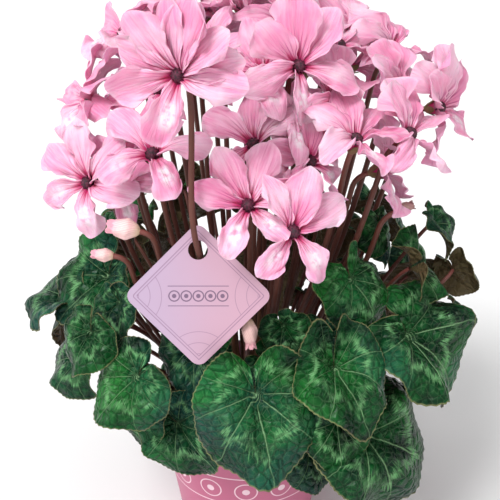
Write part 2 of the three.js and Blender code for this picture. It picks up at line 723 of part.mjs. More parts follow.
// The crown that flower stalks grow from, and the ring of leaf stalks round it
function crownForm() {
  const low = CORM_TOP + GAP;
  return lathe([[0, low], [CROWN_RADIUS, low], [CROWN_RADIUS - 1, low + CROWN_THICKNESS],
    [0, low + CROWN_THICKNESS + 1]], CORM_SIDES);
}

function ringForm() {
  const low = CORM_TOP + GAP;
  return lathe([[RING_INNER, low], [RING_OUTER, low], [RING_OUTER - 1, low + CROWN_THICKNESS],
    [RING_INNER + 1, low + CROWN_THICKNESS], [RING_INNER, low]], CORM_SIDES);
}

// Only what lies far enough from a middle, near which neighbours grow together
function beyond(form, middle, reach) {
  const isOut = (corner) => form.points[corner].distanceTo(middle) > reach;
  return { points: form.points, faces: form.faces.filter((face) => face.every(isOut)) };
}

function beyondCrown(form) {
  return beyond(form, new THREE.Vector3(0, 0, CORM_TOP), CROWN_REACH);
}

function azimuthOf(point) {
  return THREE.MathUtils.radToDeg(Math.atan2(point.x, -point.y));
}

// What grows, from the lists above
const blooms = BLOOMS.map((row, i) => {
  const [azimuth, radius, height, faceAzimuth, faceElevation, turn, size, petals, joins] = row;
  const axis = direction(faceAzimuth, faceElevation);
  const end = place(azimuth, radius, height).addScaledVector(axis, -EYE_HEIGHT);
  const throughTag = i === TAG_BLOOM;
  const tip = { end, axis, azimuth: azimuthOf(end), radius: Math.hypot(end.x, end.y), throughTag };
  return { number: i + 1, turn, size, petals, joins: Boolean(joins), tip, frame: frameAt(end, axis, 0) };
});

const buds = BUDS.map(([azimuth, radius, height, faceAzimuth, faceElevation, length, girth]) => {
  const axis = direction(faceAzimuth, faceElevation);
  return { axis, end: place(azimuth, radius, height), azimuth, radius, length, girth };
});

const leaves = LEAVES.map((row, i) => {
  const [azimuth, radius, height, width, faceAzimuth, faceElevation, turn, sag, wave, scroll, joins] = row;
  const number = BLOOMS.length + BUDS.length + i + 1;
  return {
    number, azimuth, radius, height, width, faceAzimuth, faceElevation, turn, sag, wave, scroll,
    joins: Boolean(joins),
  };
});

// Growth: each piece takes its first attempt that leaves room to all that already stands
function firstClear(tryAt) {
  for (let attempt = 0; attempt < ATTEMPTS; attempt += 1) {
    const grown = tryAt(attempt);
    if (grown) return grown;
  }
  throw new Error('a piece of the plant finds no room');
}

const hearts = blooms.map((bloom) => body(transformed(heartForm(CLEARANCE), bloom.frame)));
const budSkins = buds.map((bud) => body(budForm(bud)));
const standing = [body(potWallForm()), body(tagForm(CLEARANCE))];

function growStalks(tips) {
  const heads = [...hearts, ...budSkins];
  const grown = [];
  tips.forEach((tip, i) => {
    const others = heads.filter((head, number) => number !== i);
    grown.push(firstClear((attempt) => {
      const wide = stalkForm(tip, i + 1, attempt, CLEARANCE);
      const upper = body(beyondCrown(wide));
      if (!tip.throughTag && !isClear(upper, standing)) return null;
      if (!isClear(upper, [...others, ...grown.map((stalk) => stalk.upper)])) return null;
      return { form: stalkForm(tip, i + 1, attempt, 0), skin: body(wide), upper };
    }));
  });
  return grown;
}

function growLeaves() {
  const grown = [];
  leaves.forEach((leaf, i) => {
    const partner = leaf.joins ? grown[i - 1] : null;
    const stems = grown.map((other) => other.stem);
    const blades = grown.map((other) => other.skin);
    const strange = grown.filter((other) => other !== partner).map((other) => other.skin);
    const upperStems = grown.map((other) => other.upper);
    grown.push(firstClear((attempt) => {
      const tried = leafAttempt(leaf, attempt);
      const frame = leafFrame(tried);
      const skin = body(transformed(leafForm(tried, CLEARANCE), frame));
      if (!isClear(skin, [...standing, ...stems, ...strange])) return null;
      const form = transformed(leafForm(tried, 0), frame);
      if (partner && !touches(body(form), body(partner.form))) return null;
      const wide = petioleForm(tried, attempt, CLEARANCE);
      const stem = body(wide);
      const upper = body(beyondCrown(wide));
      if (!isClear(stem, [...standing, ...blades]) || !isClear(upper, upperStems)) return null;
      return { form, skin, stem, upper, petiole: petioleForm(tried, attempt, 0) };
    }));
  });
  return grown;
}

// The number of the petal that points most nearly at a place
function petalTowards(bloom, target) {
  const local = target.clone().applyMatrix4(bloom.frame.clone().invert());
  const angle = THREE.MathUtils.radToDeg(Math.atan2(local.x, local.y));
  const apart = (number) => {
    const gap = petalAttempt(bloom, number, 0, 0).angle - angle;
    return Math.abs(THREE.MathUtils.euclideanModulo(gap + 180, 360) - 180);
  };
  return [...Array(bloom.petals).keys()].sort((one, other) => apart(one) - apart(other))[0];
}

function growPetals() {
  const grown = [];
  blooms.forEach((bloom, i) => {
    const partner = bloom.joins ? i - 1 : i;
    const reaching = bloom.joins ? petalTowards(bloom, blooms[partner].tip.end) : -1;
    const near = [...standing, ...hearts.filter((heart, other) => other !== i),
      ...grown.filter((petal) => petal.bloom !== partner).map((petal) => petal.wideSkin)];
    const partners = grown.filter((petal) => petal.bloom === partner).map((petal) => petal.skin);
    const siblings = [];
    for (let number = 0; number < bloom.petals; number += 1) {
      const found = firstClear((attempt) => {
        const wide = petalForm(petalAttempt(bloom, number, attempt, CLEARANCE), CLEARANCE);
        const wideSkin = body(transformed(wide, bloom.frame));
        const petal = petalAttempt(bloom, number, attempt, 0);
        const skin = body(transformed(petalForm(petal, 0), bloom.frame));
        if (!isClear(wideSkin, near) || !isClear(skin, siblings)) return null;
        if (number === reaching && isClear(skin, partners)) return null;
        return { bloom: i, wideSkin, skin, petal };
      });
      siblings.push(found.skin);
      grown.push(found);
    }
  });
  return grown;
}

const stalks = growStalks([...blooms.map((bloom) => bloom.tip), ...buds]);
standing.push(...stalks.map((stalk) => stalk.skin), ...budSkins);
const foliage = growLeaves();
standing.push(...foliage.map((leaf) => leaf.skin), ...foliage.map((leaf) => leaf.stem));
const petals = growPetals();

// The scene
addPiece('pot', potShape(), COLOURS.pot, 0.5);
addPiece('soil', soilShape(), COLOURS.soil, 1);
addPiece('corm', cormShape(), COLOURS.corm, 0.9);
addPiece('tag', solid(tagForm(0)), COLOURS.tag, 0.4);
const flowerStalks = joined([crownForm(), ...stalks.map((stalk) => stalk.form), ...buds.map(budForm)]);
addPiece('flower_stalks', flowerStalks, COLOURS.stalk, 0.6);
const leafStalks = joined([ringForm(), ...foliage.map((leaf) => leaf.petiole)]);
addPiece('leaf_stalks', leafStalks, COLOURS.stalk, 0.6);

// One node for each item, with those that grew into it
function addGroups(prefix, items, forms, colour, roughness) {
  let group = [];
  let number = 0;
  items.forEach((item, i) => {
    group.push(forms[i]);
    if (items[i + 1]?.joins) return;
    number += 1;
    addPiece(`${prefix}_${String(number).padStart(2, '0')}`, joined(group), colour, roughness);
    group = [];
  });
}

const bloomForms = blooms.map((bloom, i) => {
  const own = petals.filter((petal) => petal.bloom === i).map((petal) => petal.petal);
  return transformed(bloomForm(own), bloom.frame);
});
addGroups('bloom', blooms, bloomForms, COLOURS.petal, 0.6);
addGroups('leaf', leaves, foliage.map((leaf) => leaf.form), COLOURS.leaf, 0.5);

export default plant;
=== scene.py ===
import copy
import math
from itertools import zip_longest

import bmesh
import bpy
import numpy as np
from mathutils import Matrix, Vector, kdtree


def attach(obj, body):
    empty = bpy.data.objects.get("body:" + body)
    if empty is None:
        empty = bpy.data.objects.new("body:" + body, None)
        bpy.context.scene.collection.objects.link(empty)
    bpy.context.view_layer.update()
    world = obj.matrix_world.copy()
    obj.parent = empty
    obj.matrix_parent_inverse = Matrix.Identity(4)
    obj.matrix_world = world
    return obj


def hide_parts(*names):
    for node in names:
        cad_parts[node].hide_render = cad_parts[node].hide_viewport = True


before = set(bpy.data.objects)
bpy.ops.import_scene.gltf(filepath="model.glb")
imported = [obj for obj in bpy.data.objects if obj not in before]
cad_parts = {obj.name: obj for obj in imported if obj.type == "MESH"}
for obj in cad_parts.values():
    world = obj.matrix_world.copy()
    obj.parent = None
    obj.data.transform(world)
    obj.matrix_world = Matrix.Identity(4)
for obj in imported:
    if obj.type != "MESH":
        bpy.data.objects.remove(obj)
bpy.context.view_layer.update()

MM = 0.001

# Pot, soil and corm
POT_HEIGHT = 120
POT_BASE_RADIUS = 50
POT_RIM_RADIUS = 70
POT_RIM_DEPTH = 15
POT_RIM_STEP = 2.2
POT_WALL = 1.8
SOIL_TOP = 109
CORM_RADIUS = 38
CORM_TOP = 116
CORM_THICKNESS = 34
POT_SIDES = 96
SOIL_SIDES = 120
CORM_SIDES = 90

# Stalks
RING_MIDDLE = 26.25
STALK_RADIUS = 1.9
NECK = 9
PETIOLE_RISE = 34
GAP = 0.3

# Blooms
EYE_HEIGHT = 13
EYE_TIP = 14.5
PETAL_LENGTH = 36
PETAL_HALF_WIDTH = 10.2
PETAL_THICKNESS = 0.7
PETAL_ROOT = 7.5
PETAL_START = 3.4
PETAL_LEAVES_AT = 40
PETAL_CUP = 0.22
PETAL_OVERLAP = 24
PETAL_CROWDING = 17
UPPER_PETAL_LENGTH = 1.06
LOWER_PETAL_LENGTH = 0.92
UPPER_PETAL_WIDTH = 0.98
LOWER_PETAL_WIDTH = 0.7

# Finer petals: their rows and columns of points, how much broader they are than the solids', the
# pleats at their throat, the ruffle of their edge, and the ridge along their middle
PETAL_ROWS = 24
PETAL_COLUMNS = 17
PETAL_BROADER = 1.22
PETAL_PLEAT = 0.65
PETAL_RUFFLE = 2.5
PETAL_RIDGE = 0.8

# Petals between two others: how far behind them they open, in degrees, how long they may be, the
# room that they keep, how many of the places between petals have one, how far down one may hang,
# and the blooms that have none
FILLER_BEHIND = 11
FILLER_LENGTHS = (0.98, 0.85, 0.7)
FILLER_CLEARANCE = 2.6
FILLER_SHARE = 0.7
FILLER_LOWEST = 0.62
PLAIN_BLOOMS = (1, 2, 4, 7, 13)

# Sepals, and the bodies and tips of buds
SCALE_ROWS = 9
SCALE_COLUMNS = 7
BUD_ROWS = 19
BUD_SIDES = 40

# Leaves, with the angle from one main vein to the next
LEAF_THICKNESS = 0.8
NOTCH = 0.1
TOOTH = 0.025
RIB_STEP = 2 * math.pi / 9

# Finer blades, and the small leaves among the stalks
BLADE_THICKNESS = 0.6
LEAF_ROWS = 121
LEAF_COLUMNS = 15
YOUNG_LEAVES = 64
FIRST_YOUNG = 200
YOUNG_ATTEMPTS = 60
YOUNG_CLEARANCE = 4.5
YOUNG_ROWS = 61
YOUNG_COLUMNS = 9

# Tag
TAG_SIDE = 65
TAG_CORNER = 6
TAG_THICKNESS = 0.7
TAG_HOLE_RADIUS = 6
TAG_HOLE_TO_TOP = 15
TAG_HOLE = (-16, 104, 281.6)
TAG_TILT = 15
TAG_STALK_SLANT = 60
CARD_ROWS = 40
CARD_COLUMNS = 160
TAG_BLOOM = 3

# The card's print: its borders' distances from the edge, the step of its arcs, and its chain of
# rings: from ring to ring, a ring's radius, the rules above and below it, and half its length
BORDERS = (4.0, 5.6)
ARC_STEP = 7.0
CHAIN_STEP = 7.4
CHAIN_RADIUS = 3.2
CHAIN_RULE = 6.2
CHAIN_HALF = 18.5

# The pot's print: its height, half its width, how many rings it has, a ring's radius, and the
# pot's own radius there
PRINT_MIDDLE = 66
PRINT_HALF = 13
PRINT_RINGS = 14
PRINT_RING = 8.0
PRINT_RADIUS = 58.0

# How many attempts the growing pieces had
ATTEMPTS = 240

# Finer stalks: how many steps to one of the solids', their sides, their radius at the root and how
# much less it is at the tip
STALK_FINER = 6
STALK_SIDES = 10
STALK_ROOT = 2.0
STALK_TAPER = 0.25
PETIOLE_STEPS = 24
PETIOLE_SIDES = 8
PETIOLE_ROOT = 1.65
PETIOLE_TAPER = 0.3

# Camera
CAMERA_TARGET = (2.9, 0, 235)
CAMERA_DISTANCE = 700
CAMERA_ELEVATION = 25
CAMERA_LENS = 70
CAMERA_SENSOR = 36

# Light: each lamp's azimuth, elevation, softness and power, how bright the sky is away from the
# key lamp and round it, the heights between which the horizon's glow ends, and the size of the
# floor in metres
LAMPS = {"key": (-40, 50, 24, 2.4), "fill": (60, 35, 40, 0.4)}
SKY_DIM = 0.16
SKY_BRIGHT = 1.1
HORIZON = (0.05, 0.15)
FLOOR_SIZE = 80

# Open blooms: where the eye is and the way it faces, the turn of the petals, their size and their
# number. A row that ends in 1 grew into the bloom before it.
BLOOM_KEYS = "azimuth radius height face_azimuth face_elevation turn size petals joins"
BLOOMS = [
    (1, 101, 312, -4, 32, 20, 1.0, 6),
    (14, 120, 301, 18, 22, 10, 1.0, 5),
    (-17.5, 123, 394, -12, 15, 0, 1.12, 6),
    (-58, 119, 311, -30, 18, -8, 1.05, 6),
    (-35, 98, 338, -5, 52, 15, 1.0, 5),
    (-53, 98, 309, -20, 10, 30, 0.85, 5),
    (42, 101, 346, 40, 68, 10, 1.0, 6),
    (60, 120, 344, 70, 44, 36, 1.0, 5),
    (64, 102, 314, 78, 20, 10, 0.95, 5),
    (83, 131, 346, 58, 14, 0, 1.1, 5),
    (79, 107, 359, 70, 46, 20, 1.0, 5),
    (101, 103, 379, 60, 55, 0, 1.0, 5, 1),
    (29, 68, 385, 16, 26, 0, 1.1, 6),
    (49, 76, 363, 44, 50, 20, 0.95, 5, 1),
    (12, 50, 379, -10, 48, 20, 1.0, 5),
    (-45, 32, 383, -35, 50, 0, 0.95, 5, 1),
    (-51, 71, 368, -44, 44, 0, 1.0, 5, 1),
    (-76, 105, 355, -70, 40, 0, 1.0, 6),
    (-97, 83, 391, -75, 60, 0, 1.0, 6),
    (-117, 56, 400, -90, 45, 10, 1.0, 5),
    (109, 78, 389, 70, 62, 0, 1.0, 5),
    (129, 64, 398, 110, 50, 10, 1.0, 5, 1),
    (100, 27, 399, 50, 60, 0, 1.0, 5, 1),
    (79, 63, 388, 60, 56, 0, 1.0, 5, 1),
    (4, 70, 340, -6, 44, 0, 0.95, 5),
    (31, 80, 328, 30, 34, 0, 1.0, 5, 1),
    (30, 64, 351, 45, 66, 0, 0.95, 5, 1),
    (-128, 98, 356, -130, 28, 0, 1.05, 5),
    (-155, 104, 350, -158, 62, 10, 1.05, 5, 1),
    (178, 102, 354, 178, 20, 0, 1.05, 5),
    (153, 104, 350, 152, 64, 15, 1.05, 5, 1),
    (128, 103, 356, 126, 24, 0, 1.0, 5, 1),
    (-150, 56, 394, -150, 70, 0, 1.0, 5),
    (172, 52, 398, 170, 40, 10, 1.0, 5, 1),
    (-170, 12, 409, -120, 82, 0, 0.95, 5, 1),
]

# Buds and spent blooms: where the tip of the stalk is, the way it points, its length, its radius
# and how far it has withered
BUD_KEYS = "azimuth radius height face_azimuth face_elevation length girth withered"
BUDS = [
    (-38, 107, 287, -90, 12, 21, 7, 0),
    (-49, 112, 265, -95, 5, 15, 4.6, 0.1),
    (1, 104, 236, 20, -75, 20, 5.2, 0.35),
    (66, 108, 283, 90, 25, 14, 4.6, 0.75),
    (-19, 92, 132, -10, -78, 17, 4, 1),
]

# Leaves: where the stalk meets the leaf, its width, the way it faces, the turn of its tip from
# straight down, its sag, its wave and the scroll of its lobes. A row that ends in 1 grew into the
# leaf before it.
LEAF_KEYS = "azimuth radius height width face_azimuth face_elevation turn sag wave scroll joins"
LEAVES = [
    (3, 118, 190, 86, 4, 32, 6, 0.18, 0.07, 0.12),
    (56, 128, 205, 88, 40, 42, 34, 0.14, 0.1, 0),
    (28, 121, 201, 68, 20, 60, 4, 0.12, 0.04, 0.3),
    (36, 130, 150, 98, 28, 34, 54, 0.16, 0.09, 0.05),
    (26, 118, 170, 52, 24, 34, 8, 0.1, 0.02, 0.1),
    (40, 104, 246, 60, 26, 42, 12, 0.12, 0.04, 0.1),
    (-34, 123, 193, 62, -24, 32, -38, 0.12, 0.04, 0.1),
    (-46, 126, 212, 50, -36, 36, -8, 0.1, 0.03, 0.15),
    (-49, 98, 236, 44, -32, 32, 30, 0.1, 0.02, 0),
    (-60, 126, 184, 60, -44, 34, -66, 0.12, 0.02, 0.1),
    (-63, 108, 236, 80, -44, 26, -48, 0.1, 0.03, 0),
    (-80, 128, 206, 68, -56, 48, -75, 0.14, 0.04, 0),
    (66, 122, 238, 62, 56, 50, 66, 0.14, 0.04, 0.1),
    (66, 106, 262, 40, 45, 40, -8, 0.1, 0.02, 0),
    (80, 134, 264, 46, 62, 48, 25, 0.12, 0.03, 0),
    (86, 148, 224, 38, 150, 22, -30, 0.08, 0.02, 0),
    (76, 152, 200, 36, 60, 35, 60, 0.1, 0.02, 0),
    (-27, 88, 217, 62, -14, 30, 10, 0.12, 0.02, 0),
    (-39, 108, 160, 50, -34, 16, -10, 0.1, 0.02, 0),
    (-26, 102, 150, 60, -18, 24, 45, 0.1, 0.02, 0, 1),
    (9, 97, 222, 46, 6, 30, 10, 0.1, 0.02, 0),
    (12, 100, 204, 40, 14, 26, 30, 0.1, 0.02, 0),
    (26, 98, 126, 50, 28, 15, 10, 0.1, 0.03, 0),
    (34, 88, 212, 48, 30, 40, 0, 0.1, 0.02, 0),
    (50, 98, 196, 44, 42, 35, 20, 0.1, 0.02, 0),
    (103, 126, 200, 80, 100, 34, 10, 0.14, 0.05, 0),
    (122, 118, 240, 70, 120, 42, -10, 0.12, 0.04, 0),
    (133, 132, 162, 78, 132, 28, 20, 0.14, 0.05, 0),
    (152, 122, 215, 80, 150, 36, 0, 0.12, 0.04, 0),
    (175, 128, 168, 80, 176, 28, -15, 0.14, 0.05, 0),
    (-165, 118, 235, 74, -166, 40, 10, 0.12, 0.04, 0),
    (-145, 130, 185, 80, -146, 32, -20, 0.14, 0.05, 0),
    (-125, 120, 228, 74, -124, 40, 15, 0.12, 0.04, 0),
    (-103, 128, 180, 72, -104, 30, -10, 0.14, 0.05, 0),
]

UP = np.array((0.0, 0.0, 1.0))


# Places and directions
def place(azimuth, radius, height):
    angle = math.radians(azimuth)
    return np.array((radius * math.sin(angle), -radius * math.cos(angle), height))


def direction(azimuth, elevation):
    rise = math.radians(elevation)
    return place(azimuth, math.cos(rise), math.sin(rise))


def around(angle, out, aside, height):
    """Places out from an axis at an angle, and aside from there"""
    return np.stack((out * math.sin(angle) + aside * math.cos(angle),
                     out * math.cos(angle) - aside * math.sin(angle), height), axis=-1)


def turns(sides):
    return np.arange(sides) * 2 * math.pi / sides


def unit(vector):
    return vector / np.linalg.norm(vector)


class Stand:
    """A place with its own axes: z along the given one, y turned from straight up"""

    def __init__(self, origin, axis, turn):
        side = unit(np.cross(UP, axis))
        up = np.cross(axis, side)
        angle = math.radians(turn)
        across = math.cos(angle) * side + math.sin(angle) * up
        along = math.cos(angle) * up - math.sin(angle) * side
        self.origin = origin
        self.axes = np.array((across, along, axis))

    def out(self, points):
        """Points from the stand's own axes to the plant's"""
        return points @ self.axes + self.origin


def smooth(share):
    """Goes smoothly from 0 to 1 as the share does"""
    share = np.clip(share, 0, 1)
    return share * share * (3 - 2 * share)


def grid_of(down, along):
    """Two grids: one changes from row to row, the other from column to column"""
    return np.meshgrid(down, along, indexing="ij")


def spots_of(down, along):
    """The same two grids, each in one row"""
    return np.reshape(grid_of(down, along), (2, -1))


def between(first, second, share):
    return first + (second - first) * share


def draw(item, attempt, use):
    """A seeded draw between -1 and 1"""
    value = math.sin(item * 12.9898 + attempt * 78.233 + use * 37.719) * 43758.5453
    return 2 * (value - math.floor(value)) - 1


# Petals
class Petal:
    """The way a petal stands, after a number of attempts to clear its neighbours"""

    def __init__(self, bloom, number, attempt):
        item = bloom.number * 10 + number
        even = 360 * number / bloom.petals
        angle = bloom.turn + even - PETAL_CROWDING * math.sin(math.radians(even)) + 6 * draw(item, 0, 1)
        stray = min(1.6, attempt / 24)
        shorter = 1 - 0.3 * stray * abs(draw(item, attempt, 7))
        narrower = 1 - 0.25 * stray * abs(draw(item, attempt, 8))
        self.item = item
        self.low = (1 - math.cos(math.radians(angle))) / 2
        self.angle = math.radians(angle + 14 * stray * draw(item, attempt, 2))
        self.open = 78 + 30 * self.low + 8 * draw(item, 0, 3) + 34 * stray * draw(item, attempt, 4)
        self.twist = 10 * draw(item, 0, 5) + 26 * stray * draw(item, attempt, 6)
        self.length = PETAL_LENGTH * bloom.size * shorter
        self.length *= between(UPPER_PETAL_LENGTH, LOWER_PETAL_LENGTH, self.low)
        self.width = PETAL_HALF_WIDTH * bloom.size * narrower
        self.width *= between(UPPER_PETAL_WIDTH, LOWER_PETAL_WIDTH, self.low)

    def bend(self, along):
        ease = 1 - (1 - along) ** 2
        return np.radians(PETAL_LEAVES_AT + (self.open - PETAL_LEAVES_AT) * ease)

    def points(self, along, aside, lift):
        """Points of the petal, from how far along it they are and how far off its middle line"""
        shares = (np.arange(12) + 0.5) / 12
        bends = self.bend(along[..., None] * shares)
        reach = PETAL_START + self.length * along * np.sin(bends).mean(axis=-1)
        rise = PETAL_ROOT + self.length * along * np.cos(bends).mean(axis=-1)
        bend = self.bend(along)
        roll = np.radians(PETAL_OVERLAP + self.twist * along)
        across = aside * np.cos(roll)
        up = aside * np.sin(roll) + lift
        return around(self.angle, reach - up * np.cos(bend), across, rise + up * np.sin(bend))

    def plain(self, along, across):
        """Points of the petal as the solid has it"""
        arch = np.sin(math.pi * (0.05 + 0.91 * along)) ** 0.8
        half = self.width * 1.25 * arch * (0.55 + 0.45 * along)
        return self.points(along, across * half, PETAL_CUP * half * across ** 2)


def filler(first, second, share):
    """A petal behind two neighbours and midway between them"""
    petal = copy.copy(first)
    petal.item = first.item + 1000
    petal.angle = (first.angle + second.angle) / 2
    if second.angle < first.angle:
        petal.angle += math.pi
    petal.angle += 0.12 * draw(petal.item, 0, 1)
    petal.low = (1 - math.cos(petal.angle)) / 2
    petal.open = (first.open + second.open) / 2 + FILLER_BEHIND + 5 * draw(petal.item, 0, 3)
    petal.twist = 20 * draw(petal.item, 0, 5)
    petal.length = share * (first.length + second.length) / 2
    petal.width = 0.9 * (first.width + second.width) / 2
    return petal


def petal_grid(petal):
    """The middle of a full petal: a folded claw that opens into a broad, waved and curled blade"""
    out, across = grid_of(np.linspace(0, 1, PETAL_ROWS), np.linspace(-1, 1, PETAL_COLUMNS))
    side = np.abs(across)
    trait = [draw(petal.item, 0, use) for use in range(31, 45)]
    hanging = max(0, 2 * petal.low - 1)
    claw = 1 - smooth(out / 0.6)
    blade = smooth((out - 0.25) / 0.5)
    round_tip = (0.36 + 0.08 * trait[0]) * (1 - np.sqrt(1 - 0.97 * across ** 2))
    pointed = 0.015 * np.exp(-((across - 0.2 * trait[1]) / 0.22) ** 2) * out ** 4
    along = out * (1 - round_tip + 0.07 * trait[1] * across * out) + pointed
    broad = 0.25 + 0.75 * smooth(along / 0.66)
    broad *= 1 - (0.08 + 0.12 * trait[2]) * smooth((along - 0.66) / 0.34)
    broad *= 1 + 0.09 * side ** 2 * np.sin(10 * out + 4 * trait[3] + across)
    broad *= 1 + 0.04 * side ** 2 * np.sin(23 * out + 9 * trait[8] + 2 * across)
    half = PETAL_BROADER * (1 + 0.16 * hanging) * petal.width * broad
    turned_side = np.maximum(0, across * (1 if trait[13] > 0 else -1))
    twist = (0.28 * trait[11] + 0.55 * hanging * trait[12]) * out
    lift = 0.4 * half * side * claw
    pleats = np.cos(2 * math.pi * across / 0.7) * smooth(out / 0.15)
    lift -= PETAL_PLEAT * pleats * (1 - smooth((out - 0.3) / 0.5))
    lift += (PETAL_CUP + 0.16 * trait[4]) * half * across ** 2
    lift -= (0.38 + 0.34 * trait[5]) * half * side ** 4 * blade
    lift += 0.7 * abs(trait[13]) * half * turned_side ** 3 * blade
    lift += half * across * twist
    lift -= (6 + 5 * trait[7] - 5 * hanging) * out ** 3 + 1.6 * trait[6] * np.sin(4.5 * out)
    ruffle = np.sin(7 * out + 3 * across + 3 * trait[8])
    ruffle += 0.6 * np.sin(16 * out - 5 * across + 9 * trait[9])
    lift += (PETAL_RUFFLE + 0.7 * hanging) * (side ** 3 * smooth(1.6 * out) + 0.6 * out ** 6) * ruffle
    lift -= PETAL_RIDGE * np.exp(-(across / 0.13) ** 2) * blade
    crest = np.exp(-(across / 0.34) ** 2) * smooth((out - 0.3) / 0.2) * smooth((1 - out) / 0.15)
    lift += 1.8 * hanging * crest * (0.7 + 0.5 * np.sin(22 * out + 7 * across))
    aside = across * half * (1 - 0.25 * np.abs(twist)) + 5 * trait[10] * out ** 2
    return petal.points(along, aside, lift), out, across


# Leaves
class Leaf:
    """The way a leaf hangs, after a number of attempts to clear its neighbours"""

    def __init__(self, plan, attempt):
        stray = min(1.5, attempt / 40)

        def nudge(use, most):
            return most * stray * draw(plan.number, attempt, use)

        self.number = plan.number
        self.attempt = attempt
        self.azimuth = plan.azimuth + nudge(1, 5)
        self.origin = place(self.azimuth, plan.radius + nudge(2, 10), plan.height + nudge(3, 10))
        self.axis = direction(plan.face_azimuth + nudge(4, 20), plan.face_elevation + nudge(5, 20))
        self.stand = Stand(self.origin, self.axis, 180 + plan.turn + nudge(6, 20))
        self.sag = plan.sag + nudge(7, 0.1)
        self.width = plan.width * (1 - 0.15 * stray * abs(draw(plan.number, attempt, 8)))
        self.wave = plan.wave
        self.scroll = plan.scroll
        self.phase = 3 * draw(plan.number, 0, 9)

    def points(self, angle, share, tooth):
        """Points of the leaf, from the angle round its stalk and the share of the way out"""
        from_notch = math.pi - np.abs(angle)
        heart = 0.48 + 0.11 * np.cos(angle) + 0.02 * np.cos(2 * angle)
        heart = heart + 0.09 * np.exp(-((angle / 0.3) ** 2))
        reach = self.width * heart * (1 - 0.5 * np.exp(-((from_notch / 0.35) ** 2)))
        reach = reach * share * (1 + tooth)
        sag = -self.sag * share ** 2 * (1 + 0.6 * np.maximum(0, np.cos(angle)))
        pucker = 0.05 * np.sin(math.pi * share)
        wave = self.wave * share ** 2 * np.sin(5 * angle + self.phase)
        scroll = self.scroll * share ** 2 * np.maximum(0, -np.cos(angle)) ** 2
        height = self.width * (sag + pucker + wave + scroll)
        return np.stack((reach * np.sin(angle), reach * np.cos(angle), height), axis=-1)

    def petiole(self):
        """The four points that steer the leaf's stalk"""
        stray = min(1, self.attempt / 30)
        end = self.origin - self.axis * (LEAF_THICKNESS / 2 + GAP)
        aside = self.azimuth + 14 * stray * draw(self.number, self.attempt, 10)
        root = place(aside, RING_MIDDLE, CORM_TOP + 2)
        reach = np.linalg.norm(end - root)
        launch = direction(aside, 42 + 10 * draw(self.number, self.attempt, 11))
        rise = PETIOLE_RISE * (0.6 + 0.3 * stray * draw(self.number, self.attempt, 12))
        return root, root + 0.45 * reach * launch, end - rise * self.axis, end


def leaf_grid(leaf, rows, columns):
    """The middle of a full leaf: folded along its midrib, waved, and quilted between its veins"""
    span = math.pi - NOTCH
    angle, share = grid_of(np.linspace(-span, span, rows), np.linspace(0, 1, columns) ** 0.8)
    trait = [draw(leaf.number, 0, use) for use in range(61, 68)]
    lobes = 0.014 * np.sin(7 * angle + 3 * trait[0]) + 0.012 * np.sin(12 * angle + 3 * trait[1])
    teeth = 0.009 * np.where(np.arange(rows) % 2 == 0, 1, -1)[:, None]
    grid = leaf.points(angle, share, lobes * share ** 4 + teeth * share ** 12)
    relief = 0.034 * np.sin(math.pi * share) * np.abs(np.sin(4.5 * angle))
    relief += (0.19 + 0.12 * trait[2]) * share * (1 - np.exp(-(np.sin(angle) / 0.5) ** 2))
    relief += 0.1 * share ** 3 * np.sin(3 * angle + 3 * trait[3])
    relief += 0.042 * share ** 3 * np.sin(8 * angle + 3 * trait[4])
    relief += (0.22 + 0.14 * trait[1]) * share ** 3 * np.maximum(0, -np.cos(angle)) ** 2
    relief += 0.14 * trait[5] * share ** 3 * np.exp(-(angle / 0.6) ** 2)
    relief -= 0.035 * share ** 8 * (1 + 0.6 * trait[6])
    grid[..., 2] += leaf.width * relief
    return grid, angle, share


# Curves
def curve(steer, count):
    """Points along a smooth curve from the first to the last of the points that steer it"""
    share = np.linspace(0, 1, count + 1)[:, None]
    while len(steer) > 1:
        steer = [between(*pair, share) for pair in zip(steer, steer[1:])]
    return steer[0]


def stalk_curves(tip, attempt):
    """The curves of the stalk that ends at a tip, as points"""
    stray = min(1, attempt / 20)
    azimuth = math.degrees(math.atan2(tip.end[0], -tip.end[1]))
    radius = math.hypot(tip.end[0], tip.end[1])
    aside = azimuth + 12 * stray * draw(tip.number, attempt, 21)
    root = place(aside, 5 + 0.1 * radius - 2.5 * (tip.number % 2), CORM_TOP + 2)
    lean = direction(azimuth, 90 - 0.13 * radius)
    end = tip.end - GAP * tip.axis
    corner = end - NECK * tip.axis
    neck = corner - NECK * lean
    reach = np.linalg.norm(neck - root)
    launch = direction(aside, 90 - 0.3 * radius)
    sway = np.array((draw(tip.number, attempt, 22), draw(tip.number, attempt, 23), 0)) * 14 * stray
    hook = curve((neck, corner, end), 2 * STALK_FINER)
    if tip.number != TAG_BLOOM:
        steer = (root, root + 0.38 * reach * launch + sway, neck - 0.38 * reach * lean + sway, neck)
        return [curve(steer, 4 * STALK_FINER), hook]
    hole = place(*TAG_HOLE)
    slant = direction(TAG_HOLE[0], TAG_STALK_SLANT)
    below = np.linalg.norm(hole - root)
    above = np.linalg.norm(neck - hole)
    lower = (root, root + 0.3 * below * launch, hole - 0.4 * below * slant, hole)
    upper = (hole, hole + 0.42 * above * slant, neck - 0.35 * above * lean, neck)
    return [curve(lower, 4 * STALK_FINER), curve(upper, 3 * STALK_FINER), hook]


def joined(curves):
    return np.concatenate([curves[0]] + [later[1:] for later in curves[1:]])


# The plan, as things to grow
class Plan:
    """What is planned of one bloom, bud or leaf; a key that its row leaves out is 0"""

    def __init__(self, number, keys, row):
        self.number = number
        self.__dict__.update(zip_longest(keys.split(), row, fillvalue=0))
        self.axis = direction(self.face_azimuth, self.face_elevation)

    def end_at(self, depth):
        """Sets where its stalk ends: behind its place by the given depth"""
        self.end = place(self.azimuth, self.radius, self.height) - depth * self.axis
        self.stand = Stand(self.end, self.axis, 0)


